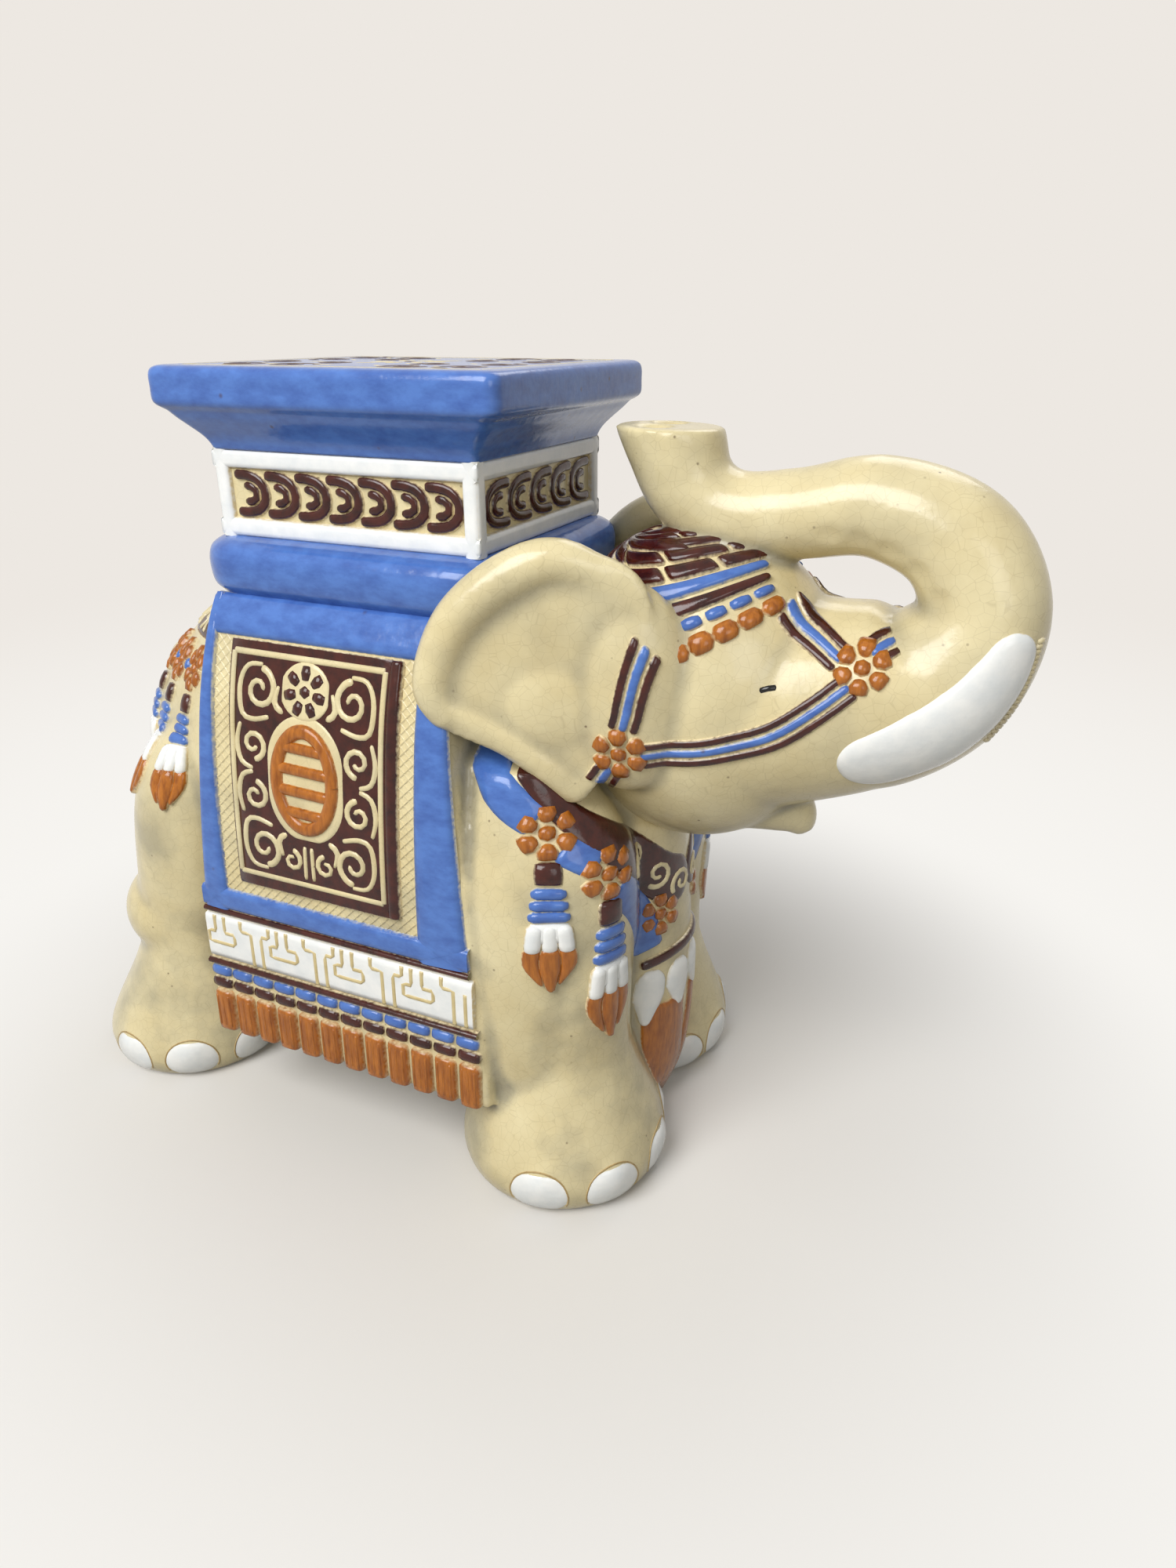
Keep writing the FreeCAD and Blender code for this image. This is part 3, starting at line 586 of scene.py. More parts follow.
class Relief:
    """Raised shapes of one glaze, laid on a surface and gathered into one piece."""
    # Length of a face, how deep the edge sinks in, the bare rim, and the width in which it fades.
    step: float = 2.2
    sink: float = 1.2
    bare: float = 0.3
    fade: float = 0.4
    # Steps between two points of a curved line, the fewest and most faces along a band, and the
    # shortest step that counts.
    span_steps: int = 8
    fewest: int = 4
    most: int = 150
    tiny: float = 1e-9

    def __init__(self) -> None:
        """Start with no shape."""
        self.bm = bmesh.new()
        self.edge = self.bm.verts.layers.float.new("thin_edge")

    def stroke(self, place: Place, path: Path, width: float | Sequence[float], height: float,
               blunt: bool = False, straight: bool = False, rows: int = 8, flat: float = 4.0,
               corner: float = 100.0) -> None:
        """Lay a pillow-shaped band along a line.

        Args:
            place: where the surface carries a flat point.
            path: the line, in flat millimetres.
            width: the band's width, or its widths from one end to the other.
            height: how far it stands up.
            blunt: whether the ends are cut square, and not rounded.
            straight: whether the line keeps its corners.
            rows: faces across the band.
            flat: how flat its top is, from 2 for round.
            corner: the rounding of the ends, at most half the width.
        """
        line = [Vector(point) for point in path]
        if not straight and len(path) > 2:
            line = flow(path, self.span_steps * (len(path) - 1))
        marks = [0.0]
        for one, two in zip(line, line[1:]):
            marks.append(marks[-1] + (two - one).length)
        total = marks[-1]
        widths = list(width) if isinstance(width, Sequence) else [width, width]
        stops = [index / (len(widths) - 1) for index in range(len(widths))]
        columns = max(self.fewest, min(self.most, round(total / self.step)))
        grid = bmesh.ops.create_grid(self.bm, x_segments=columns, y_segments=rows, size=1.0)["verts"]
        outward = Vector()
        for vert in grid:
            share, across = (vert.co.x + 1) / 2, math.sin(vert.co.y * math.pi / 2)
            if not blunt:
                share = 0.5 - 0.5 * math.cos(math.pi * share)
            half = float(np.interp(share, stops, widths)) / 2
            run = share * total
            index = max(0, min(len(line) - 2, int(np.searchsorted(marks, run)) - 1))
            part = (run - marks[index]) / max(marks[index + 1] - marks[index], self.tiny)
            here = line[index].lerp(line[index + 1], part)
            before, after = line[max(index - 1, 0)], line[min(index + 2, len(line) - 1)]
            way = (line[index + 1] - line[index]) if straight else (after - before)
            way = way.normalized()
            gap = min(run, total - run)
            end = 1.0
            cap = min(corner, half)
            if not blunt and gap < cap:
                end -= cap / half * (1 - math.sqrt(1 - (1 - gap / cap) ** 2))
            flat_point = here + Vector((-way.y, way.x)) * (half * end * across)
            point, normal = place(flat_point.x, flat_point.y)
            tip = 0.0 if blunt else max(0.0, 1 - gap / cap)
            crown = (1 - abs(across) ** flat) * (1 - tip ** flat)
            rise = -self.sink + (height + self.sink) * math.sqrt(max(0.0, crown))
            vert.co = point + normal * (rise * MM)
            rim = half * end * (1 - abs(across))
            rim = rim if blunt else min(rim, gap)
            vert[self.edge] = min(1.0, max(0.0, 1 - (rim - self.bare) / self.fade))
            outward += normal
        faces = list({face for vert in grid for face in vert.link_faces})
        for face in faces:
            face.normal_update()
        if sum(face.normal.dot(outward) * face.calc_area() for face in faces) < 0:
            bmesh.ops.reverse_faces(self.bm, faces=faces)

    def petal(self, place: Place, u: float, v: float, turn: float, length: float, width: float,
              height: float) -> None:
        """Lay one oval bump.

        Args:
            place: where the surface carries a flat point.
            u: its centre across.
            v: its centre up.
            turn: its direction in degrees.
            length: its length.
            width: its width.
            height: how far it stands up.
        """
        reach = Vector((math.cos(math.radians(turn)), math.sin(math.radians(turn)))) * length / 2
        center = Vector((u, v))
        self.stroke(place, [center - reach, center + reach], width, height, rows=8, flat=3.0)

    def curl(self, place: Place, u: float, v: float, outer: float, turns: float, start: float,
             width: float, height: float, hand: int = 1) -> None:
        """Lay a spiral scroll.

        Args:
            place: where the surface carries a flat point.
            u: its centre across.
            v: its centre up.
            outer: its outer radius.
            turns: how many turns it makes.
            start: the direction of its outer end in degrees.
            width: the band's width at the outer end. The inner end has seven tenths of it.
            height: how far it stands up.
            hand: 1 to wind to the left, -1 to the right.
        """
        fewest, per_turn = 8, 14
        taper = 0.7
        inner = width * taper / 2
        count = max(fewest, round(turns * per_turn))
        path = []
        for index in range(count + 1):
            share = index / count
            radius = outer * (1 - share) + inner * share
            angle = math.radians(start) + hand * share * turns * 2 * math.pi
            path.append((u + radius * math.cos(angle), v + radius * math.sin(angle)))
        self.stroke(place, path, (width, width * taper), height, straight=True, rows=6)

    def rosette(self, place: Place, u: float, v: float, radius: float, height: float, petals: int = 6,
                fill: float = 1.06) -> None:
        """Lay a flower of round petals about a bead.

        Args:
            place: where the surface carries a flat point.
            u: its centre across.
            v: its centre up.
            radius: its outer radius.
            height: how far it stands up.
            petals: how many petals it has.
            fill: share of the outer round that the petals take up.
        """
        bead, root, rounding = radius * 0.7, radius * 0.5, radius * 0.44
        first = 90.0
        from_middle = (0.36, 1.12)
        self.petal(place, u, v, 0.0, bead, bead, height)
        for index in range(petals):
            turn = math.radians(first + index * FULL_TURN / petals)
            way = Vector((math.cos(turn), math.sin(turn))) * radius
            ends = [Vector((u, v)) + way * share for share in from_middle]
            spread = 2 * math.pi * radius * fill / petals
            self.stroke(place, ends, (root, spread), height, flat=4.0, corner=rounding)

    def add(self, name: str, finish: Finish, nodes: Sequence[str] = (),
            mirrored: bool = True) -> bpy.types.Object:
        """Make the gathered shapes a piece.

        Args:
            name: the piece's name.
            finish: its glaze.
            nodes: the solids it stands for.
            mirrored: whether the left side gets the same.

        Returns:
            The piece.
        """
        bm = self.bm
        bmesh.ops.remove_doubles(bm, verts=bm.verts, dist=0.01 * MM)
        if mirrored:
            other = bmesh.ops.duplicate(bm, geom=bm.verts[:] + bm.edges[:] + bm.faces[:])["geom"]
            bmesh.ops.scale(bm, vec=(1, -1, 1), verts=only(bmesh.types.BMVert, other))
            bmesh.ops.reverse_faces(bm, faces=only(bmesh.types.BMFace, other))
        return add_piece(name, from_bmesh(bm, name), finish, nodes)


@dataclass
class SaddleCloth:
    """The saddle cloth: flap, blue border, scroll panel, oval grille, key band and fringe."""
    # Heights, and how far the cloth stands out there.
    profile: Path = ((319.0, 78.0), (298.0, 89.2), (253.5, 101.1), (174.9, 109.5), (57.0, 113.0))
    seat_x: float = -52.0
    # How far the edges lie from the seat's middle, at the bottom and at the top.
    rear_reach: Pair = (96.0, 77.0)
    front_reach: Pair = (93.0, 66.0)
    depth: float = 34.0
    bottom: float = 57.0
    top: float = 319.0
    hem: float = 144.0
    border_gap: float = 8.0
    # How far a strip's middle lies inside the cloth, and the strip's width.
    border_low: Pair = (6.5, 14.0)
    border_high: Pair = (9.5, 20.0)
    panel_rear: float = -116.0
    panel_front: float = -7.0
    panel_low: float = 165.0
    panel_high: float = 299.0
    lattice_lines: int = 34
    lattice_pitch: float = 5.4
    lattice_margin: float = 9.0
    medallion: Pair = (43.0, 60.0)
    medallion_rim: float = 4.0
    bars: int = 4
    bar_pitch: float = 11.5
    fold_in: float = 4.5
    scroll_shift: Pair = (-2.0, 1.0)
    # Places in a quarter of the panel, across and up from the panel's middle.
    upper_curl: Pair = (29.0, 42.5)
    lower_curl: Pair = (33.0, 14.0)
    scroll_lines: tuple[Path, ...] = (
        ((27.0, 55.0), (37.0, 53.5), (41.5, 44.0), (40.0, 30.0), (33.0, 27.0), (22.0, 29.5)),
        ((41.0, 25.0), (43.5, 14.0), (41.0, 4.0), (33.0, 0.5)),
        ((13.0, 32.0), (19.0, 37.0), (16.5, 46.0)))
    scroll_widths: Path = ((3.2, 4.8, 3.8), (3.2, 4.6, 3.8), (4.8, 5.8, 2.6))
    # Places across and down from the panel's middle.
    low_curl: Pair = (11.0, 46.0)
    stem: Path = ((2.2, 36.0), (2.6, 56.0))
    flower_up: float = 45.5
    cords: Pair = (142.0, 106.0)
    key_z: float = 124.0
    key_low: float = 110.0
    key_rise: float = 28.0
    key_repeats: int = 4
    # Lines of one repeat, in shares of its length and of the band's rise.
    keys: tuple[Path, ...] = (
        ((0.16, 1.0), (0.16, 0.62), (0.04, 0.62), (0.04, 0.36), (0.46, 0.36), (0.46, 0.62), (0.31, 0.62),
         (0.31, 1.0)),
        ((0.58, 1.0), (0.58, 0.76), (0.74, 0.76), (0.74, 0.0)),
        ((0.9, 0.0), (0.9, 0.76), (1.03, 0.76), (1.03, 1.0)))
    bead_rows: Pair = (99.5, 91.0)
    tabs: int = 12
    tab_z: Pair = (86.0, 57.5)
    rib_z: Pair = (84.0, 60.0)
    # Shares of a tab's pitch.
    dash_share: float = 0.92
    tab_share: float = 0.9
    rib_share: float = 0.2
    rib_shifts: Pair = (0.25, 0.26)

    def __post_init__(self) -> None:
        """Draw the hang of the cloth as a smooth line."""
        line = flow(self.profile, count=60)[::-1]
        self.levels = [point[0] for point in line]
        self.depths = [point[1] for point in line]

    def hang(self, z: float) -> float:
        """How far the cloth stands out at a height."""
        return float(np.interp(z, self.levels, self.depths))

    def place(self, u: float, v: float) -> Spot:
        """A point of the right flap at x of u and height v."""
        slope = (self.hang(v + 2) - self.hang(v - 2)) / 4
        return Vector((u, -self.hang(v), v)) * MM, Vector((0, -1, -slope)).normalized()

    def ends(self, z: float) -> Pair:
        """Find the edges of the flap.

        Args:
            z: the height.

        Returns:
            Where the rear and front edges lie at that height.
        """
        share = (z - self.bottom) / (self.top - self.bottom)
        rear, front = [low + (high - low) * share for low, high in (self.rear_reach, self.front_reach)]
        return self.seat_x - rear, self.seat_x + front

    def add_clay(self, bm: Shapes) -> None:
        """Add both flaps to the clay body.

        Args:
            bm: the body's shapes.
        """
        for side in (1, -1):
            grid = bmesh.ops.create_grid(bm, x_segments=40, y_segments=60, size=1.0)["verts"]
            for vert in grid:
                z = self.bottom + (vert.co.y + 1) / 2 * (self.top - self.bottom)
                rear, front = self.ends(z)
                x = rear + (vert.co.x + 1) / 2 * (front - rear)
                vert.co = Vector((x, -side * self.hang(z), z)) * MM
            faces = list({face for vert in grid for face in vert.link_faces})
            inner = bmesh.ops.extrude_face_region(bm, geom=faces)["geom"]
            inwards = (0, side * self.depth * MM, 0)
            bmesh.ops.translate(bm, vec=inwards, verts=only(bmesh.types.BMVert, inner))

    def dress(self) -> None:
        """Lay all the relief of the cloth."""
        self._border()
        self._lattice()
        self._panel()
        self._hem()
        self._keys()
        self._fringe()

    def _border(self) -> None:
        """Lay the blue border, wide at the front."""
        blue = Relief()
        inner_rear, inner_front = self.panel_rear - self.border_gap, self.panel_front + self.border_gap
        low_rear, low_front = self.ends(self.hem)
        high_rear, high_front = self.ends(self.top)
        low, high = self.hem + self.border_low[0], self.top - self.border_high[0]
        strips = (([(low_rear, low), (low_front, low)], self.border_low[1]),
                  ([(high_rear, high), (high_front, high)], self.border_high[1]),
                  ([((low_rear + inner_rear) / 2, self.hem), ((high_rear + inner_rear) / 2, self.top)],
                   (inner_rear - low_rear, inner_rear - high_rear)),
                  ([((low_front + inner_front) / 2, self.hem), ((high_front + inner_front) / 2, self.top)],
                   (low_front - inner_front, high_front - inner_front)))
        for path, width in strips:
            blue.stroke(self.place, path, width, height=3.0, blunt=True, flat=8.0)
        blue.add("cloth_border", Finish.BLUE, both("cloth_border"))

    def _lattice(self) -> None:
        """Lay the lattice ground that shows round the panel."""
        lattice = Relief()
        for slant in (1, -1):
            for index in range(-self.lattice_lines, self.lattice_lines + 1):
                self._lattice_line(lattice, index * self.lattice_pitch, slant)
        lattice.add("cloth_lattice", Finish.CREAM)

    def _panel(self) -> None:
        """Lay the brown panel with its cream scrolls, its flower and the oval grille."""
        brown, cream, petals = Relief(), Relief(), Relief()
        rear, front, low, high = self.panel_rear, self.panel_front, self.panel_low, self.panel_high
        mid_x, mid_z = (rear + front) / 2, (low + high) / 2
        ground = [(mid_x, low), (mid_x, high)]
        brown.stroke(self.place, ground, front - rear, height=2.6, flat=30.0, corner=1.5)
        fold = front - self.fold_in
        brown.stroke(self.place, [(fold, high), (fold, low)], width=8.0, height=3.8, flat=3.0, corner=2.0)
        left, right, foot, head = rear + 6, front - 10, low + 8, high - 6
        corners = ((left, foot), (left, head), (right, head), (right, foot), (left, foot))
        for path in zip(corners, corners[1:]):
            cream.stroke(self.place, path, width=4.2, height=3.3, corner=0.5)
        mid_x += self.scroll_shift[0]
        for way_x in (1, -1):
            for way_z in (1, -1):
                self._scroll_quarter(cream, mid_x, mid_z + self.scroll_shift[1], way_x, way_z)
            across, down = self.low_curl
            cream.curl(self.place, mid_x + way_x * across, mid_z - down, outer=6.5, turns=1.15, start=90.0,
                       width=4.6, height=3.4, hand=way_x)
            stem = [(mid_x + way_x * across, mid_z - down) for across, down in self.stem]
            cream.stroke(self.place, stem, width=3.2, height=3.4)
        flower_z, half = mid_z + self.flower_up, 15.5
        ground = [(mid_x - half, flower_z), (mid_x + half, flower_z)]
        cream.stroke(self.place, ground, half * 2, height=3.1, rows=14, flat=30.0)
        petals.rosette(self.place, mid_x, flower_z, radius=12.4, height=4.4, petals=7, fill=0.8)
        brown.add("scroll_panel", Finish.BROWN, both("scroll_panel"))
        petals.add("panel_flower", Finish.BROWN)
        self._medallion(cream, mid_x, mid_z)
        cream.add("panel_lines", Finish.CREAM)

    def _medallion(self, cream: Relief, mid_x: float, mid_z: float) -> None:
        """Lay the amber oval grille on a cream ground.

        Args:
            cream: the panel's line work.
            mid_x: the oval's middle along the body.
            mid_z: the oval's middle height.
        """
        amber = Relief()
        half_x, half_z = self.medallion[0] / 2, self.medallion[1] / 2
        rim = self.medallion_rim
        ground = [(mid_x, mid_z - half_z - rim), (mid_x, mid_z + half_z + rim)]
        cream.stroke(self.place, ground, half_x * 2 + 2 * rim, height=3.1, rows=14, flat=30.0)
        steps = 48
        turns = [index * 2 * math.pi / steps for index in range(steps + 1)]
        oval = [(mid_x + (half_x - rim) * math.cos(turn), mid_z + (half_z - rim) * math.sin(turn))
                for turn in turns]
        amber.stroke(self.place, oval, width=9.0, height=5.6, blunt=True, straight=True)
        for index in range(self.bars):
            z = mid_z + (index - (self.bars - 1) / 2) * self.bar_pitch
            reach = (half_x - rim) * math.sqrt(1 - ((z - mid_z) / half_z) ** 2)
            bar = [(mid_x - reach, z), (mid_x + reach, z - 1.0)]
            amber.stroke(self.place, bar, width=7.2, height=5.4)
        amber.add("medallion", Finish.AMBER, both("medallion"))

    def _scroll_quarter(self, cream: Relief, mid_x: float, mid_z: float, way_x: int, way_z: int) -> None:
        """Lay the cream lines that part the cloud scrolls in one quarter of the panel.

        Args:
            cream: the panel's line work.
            mid_x: the panel's middle along the body.
            mid_z: the panel's middle height.
            way_x: 1 for the front half, -1 for the rear half.
            way_z: 1 for the upper half, -1 for the lower half.
        """
        hand = way_x * way_z

        def spot(across: float, up: float) -> Pair:
            """A point of this quarter."""
            return mid_x + way_x * across, mid_z + way_z * up
        cream.curl(self.place, *spot(*self.upper_curl), outer=11.0, turns=1.3, start=90.0 * way_z, width=5.6,
                   height=3.4, hand=hand)
        cream.curl(self.place, *spot(*self.lower_curl), outer=8.4, turns=1.25, start=-90.0 * way_z, width=5.2,
                   height=3.4, hand=-hand)
        for path, widths in zip(self.scroll_lines, self.scroll_widths):
            cream.stroke(self.place, [spot(*point) for point in path], widths, height=3.3, rows=6)

    def _lattice_line(self, lattice: Relief, offset: float, slant: int) -> None:
        """Lay one diagonal of the lattice that shows round the panel.

        Args:
            lattice: the lattice's shapes.
            offset: where the diagonal crosses mid height.
            slant: 1 to rise to the front, -1 to fall.
        """
        margin, shortest, slack = self.lattice_margin, 4, 0.01
        rear, front = self.panel_rear - margin, self.panel_front + margin
        low, high = self.panel_low - margin, self.panel_high + margin
        mid_x, mid_z = (rear + front) / 2 + offset, (low + high) / 2
        ends = []
        for z in (low, high)[::slant]:
            x = mid_x + slant * (z - mid_z)
            x = min(max(x, rear), front)
            ends.append((x, mid_z + slant * (x - mid_x)))
        inside = all(low - slack <= z <= high + slack for _, z in ends)
        if inside and abs(ends[0][0] - ends[1][0]) > shortest:
            lattice.stroke(self.place, ends, width=1.5, height=0.75, rows=2)

    def _hem(self) -> None:
        """Lay the two brown cords."""
        brown = Relief()
        for z in self.cords:
            path = [(x, z) for x in self.ends(z)]
            brown.stroke(self.place, path, width=4.6, height=3.6, blunt=True, flat=2.5)
        brown.add("hem_cords", Finish.BROWN, both("hem_cords"))

    def _keys(self) -> None:
        """Lay the white key band between the cords, parted by bare clay lines."""
        white, seams = Relief(), Relief()
        rear, front = self.ends(self.key_z)
        length = (front - rear) / self.key_repeats
        band = [(rear, self.key_z), (front, self.key_z)]
        white.stroke(self.place, band, width=30.0, height=2.4, flat=20.0, corner=1.0)
        for index in range(self.key_repeats):
            for key in self.keys:
                path = [(rear + (index + x) * length, self.key_low + z * self.key_rise)
                        for x, z in key if 0 <= index + x <= self.key_repeats]
                seams.stroke(self.place, path, width=3.0, height=2.9, straight=True, rows=6, flat=8.0,
                             corner=0.5)
        seams.add("key_lines", Finish.TAN)
        white.add("key_band", Finish.WHITE, both("key_band"))

    def _fringe(self) -> None:
        """Lay the blue and brown dashes and the ribbed fringe."""
        blue, brown, amber = Relief(), Relief(), Relief()
        for index in range(self.tabs):
            for z, relief in zip(self.bead_rows, (blue, brown)):
                rear, front = self.ends(z)
                length = (front - rear) / self.tabs
                middle = rear + (index + 0.5) * length
                half = length * self.dash_share / 2
                dash = [(middle - half, z), (middle + half, z)]
                relief.stroke(self.place, dash, width=8.0, height=3.0, flat=3.2, corner=2.6)
            tab = [(middle, z) for z in self.tab_z]
            amber.stroke(self.place, tab, length * self.tab_share, height=3.8, flat=5.0, corner=3.0)
            for side in (-1, 0, 1):
                rib = [(middle + side * length * out, z) for out, z in zip(self.rib_shifts, self.rib_z)]
                amber.stroke(self.place, rib, length * self.rib_share, height=4.3, flat=2.4, rows=6)
        blue.add("fringe_beads_blue", Finish.BLUE, both("fringe_beads"))
        brown.add("fringe_beads_brown", Finish.BROWN)
        amber.add("fringe_tabs", Finish.AMBER, both("fringe_tabs"))


@dataclass
class Feet:
    """The toes and their white nails."""
    # Front and rear foot, and the directions of their toes in degrees from straight ahead.
    center_x: Pair = (61.0, -215.0)
    turns: Path = ((-79.0, -37.0, 5.0, 40.0), (-97.0, -55.0, -13.0, 29.0))
    leg_y: float = 61.5
    reach: float = 43.0
    toe_z: float = 20.0
    toe_half: Triple = (18.0, 18.0, 19.0)
    # Radius at which a nail is true to size, and where a line to the foot's surface starts.
    wrap: float = 58.0
    outside: float = 110.0
    nail: Path = ((0.0, 1.0), (0.0, 30.0))
    nail_widths: Triple = (34.0, 36.0, 31.0)
    seam_z: float = 14.0
    seam_r: float = 16.5
    seam_end: float = 2.0
    seam_points: int = 17

    def toes(self) -> list[Pair]:
        """Find where the toes of the right feet swell.

        Returns:
            Their places along and across the body.
        """
        made = []
        for foot_x, turns in zip(self.center_x, self.turns):
            for turn in map(math.radians, turns):
                made.append((foot_x + self.reach * math.cos(turn), -self.leg_y + self.reach * math.sin(turn)))
        return made

    def dress(self, skin: Skin) -> None:
        """Lay the nails round the right feet and mirror them.

        Args:
            skin: the body's surface.
        """
        rim = [(self.seam_r * math.sin(turn), self.seam_z + self.seam_r * math.cos(turn))
               for turn in np.linspace(-self.seam_end, self.seam_end, self.seam_points)]
        for foot_x, turns, end in zip(self.center_x, self.turns, ("front", "rear")):
            nails, seams = Relief(), Relief()
            for first in turns:
                place = skin.round(foot_x, self.wrap, first, -self.leg_y, self.outside)
                nails.stroke(place, self.nail, self.nail_widths, height=1.2, flat=3.0, rows=14, corner=13.0)
                seams.stroke(place, rim, width=1.3, height=0.45, rows=4, straight=True)
            nails.add(f"toenails_{end}", Finish.WHITE, both(f"toenails_{end}"))
            seams.add(f"nail_seams_{end}", Finish.SEAM)


@dataclass
class ClayBody:
    """The cream body: barrel, four legs, the web between the front legs and the cloth's ground."""
    cloth: SaddleCloth
    feet: Feet
    # Centre and half sizes of a ball, and height and radius, or x, y, z and radius, of a tube's rings.
    torso: Path = ((-75.0, 0.0, 200.0), (175.0, 102.0, 125.0))
    leg: Path = ((0.0, 53.0), (7.0, 58.0), (18.0, 59.5), (32.0, 56.0), (48.0, 50.0), (70.0, 42.0),
                 (95.0, 38.0), (180.0, 40.0), (215.0, 31.0), (240.0, 14.0))
    leans: Pair = (0.0, 11.0)
    lean_from: float = 18.0
    web: Path = ((62.0, 0.0, 4.0, 36.0), (65.0, 0.0, 40.0, 45.0), (66.0, 0.0, 100.0, 47.0),
                 (62.0, 0.0, 205.0, 46.0))
    thigh: Path = ((46.0, 64.0, 48.0, 32.0), (46.0, 66.0, 90.0, 41.0), (46.0, 66.0, 180.0, 43.0),
                   (42.0, 58.0, 250.0, 32.0))
    hock: Triple = (-208.0, 64.0, 103.0)
    hock_half: Triple = (39.0, 38.0, 34.0)
    tail: Path = ((-222.0, 257.0, 9.5), (-242.0, 249.0, 9.0), (-253.0, 226.0, 8.0), (-254.0, 196.0, 7.0),
                  (-249.0, 160.0, 6.5), (-237.0, 120.0, 7.0))
    tuft: Path = ((-238.0, 0.0, 122.0), (8.0, 9.0, 22.0))

    def build(self) -> bpy.types.Object:
        """Model the body.

        Returns:
            Its piece.
        """
        bm = bmesh.new()
        ball(bm, *self.torso)
        for side in (-1, 1):
            for foot_x, lean in zip(self.feet.center_x, self.leans):
                slope = math.tan(math.radians(lean))
                rings = [(foot_x + slope * max(0.0, z - self.lean_from), side * self.feet.leg_y, z, radius)
                         for z, radius in flow(self.leg, count=40)]
                tube(bm, rings, upright=True)
            rings = [(x, side * y, z, radius) for x, y, z, radius in flow(self.thigh, count=24)]
            tube(bm, rings, upright=True)
            for x, y in self.feet.toes():
                ball(bm, (x, -side * y, self.feet.toe_z), self.feet.toe_half)
            ball(bm, (self.hock[0], side * self.hock[1], self.hock[2]), self.hock_half)
        tube(bm, flow(self.web, count=24), upright=True)
        self.cloth.add_clay(bm)
        mesh = cast(bm, grain=2.6, passes=8)
        names = ["torso_shell", "chest_web", *both("cloth_flap"), *both("leg_front"), *both("leg_rear")]
        return add_piece("clay_body", mesh, Finish.CREAM, names)

    def add_tail(self) -> None:
        """Model the tail, which lies down the rump and ends in a tuft."""
        bm = bmesh.new()
        tube(bm, [(x, 0, z, radius) for x, z, radius in flow(self.tail, count=36)], segments=24)
        ball(bm, *self.tuft)
        add_piece("tail", cast(bm, grain=1.6, passes=3), Finish.CREAM, ["tail"])


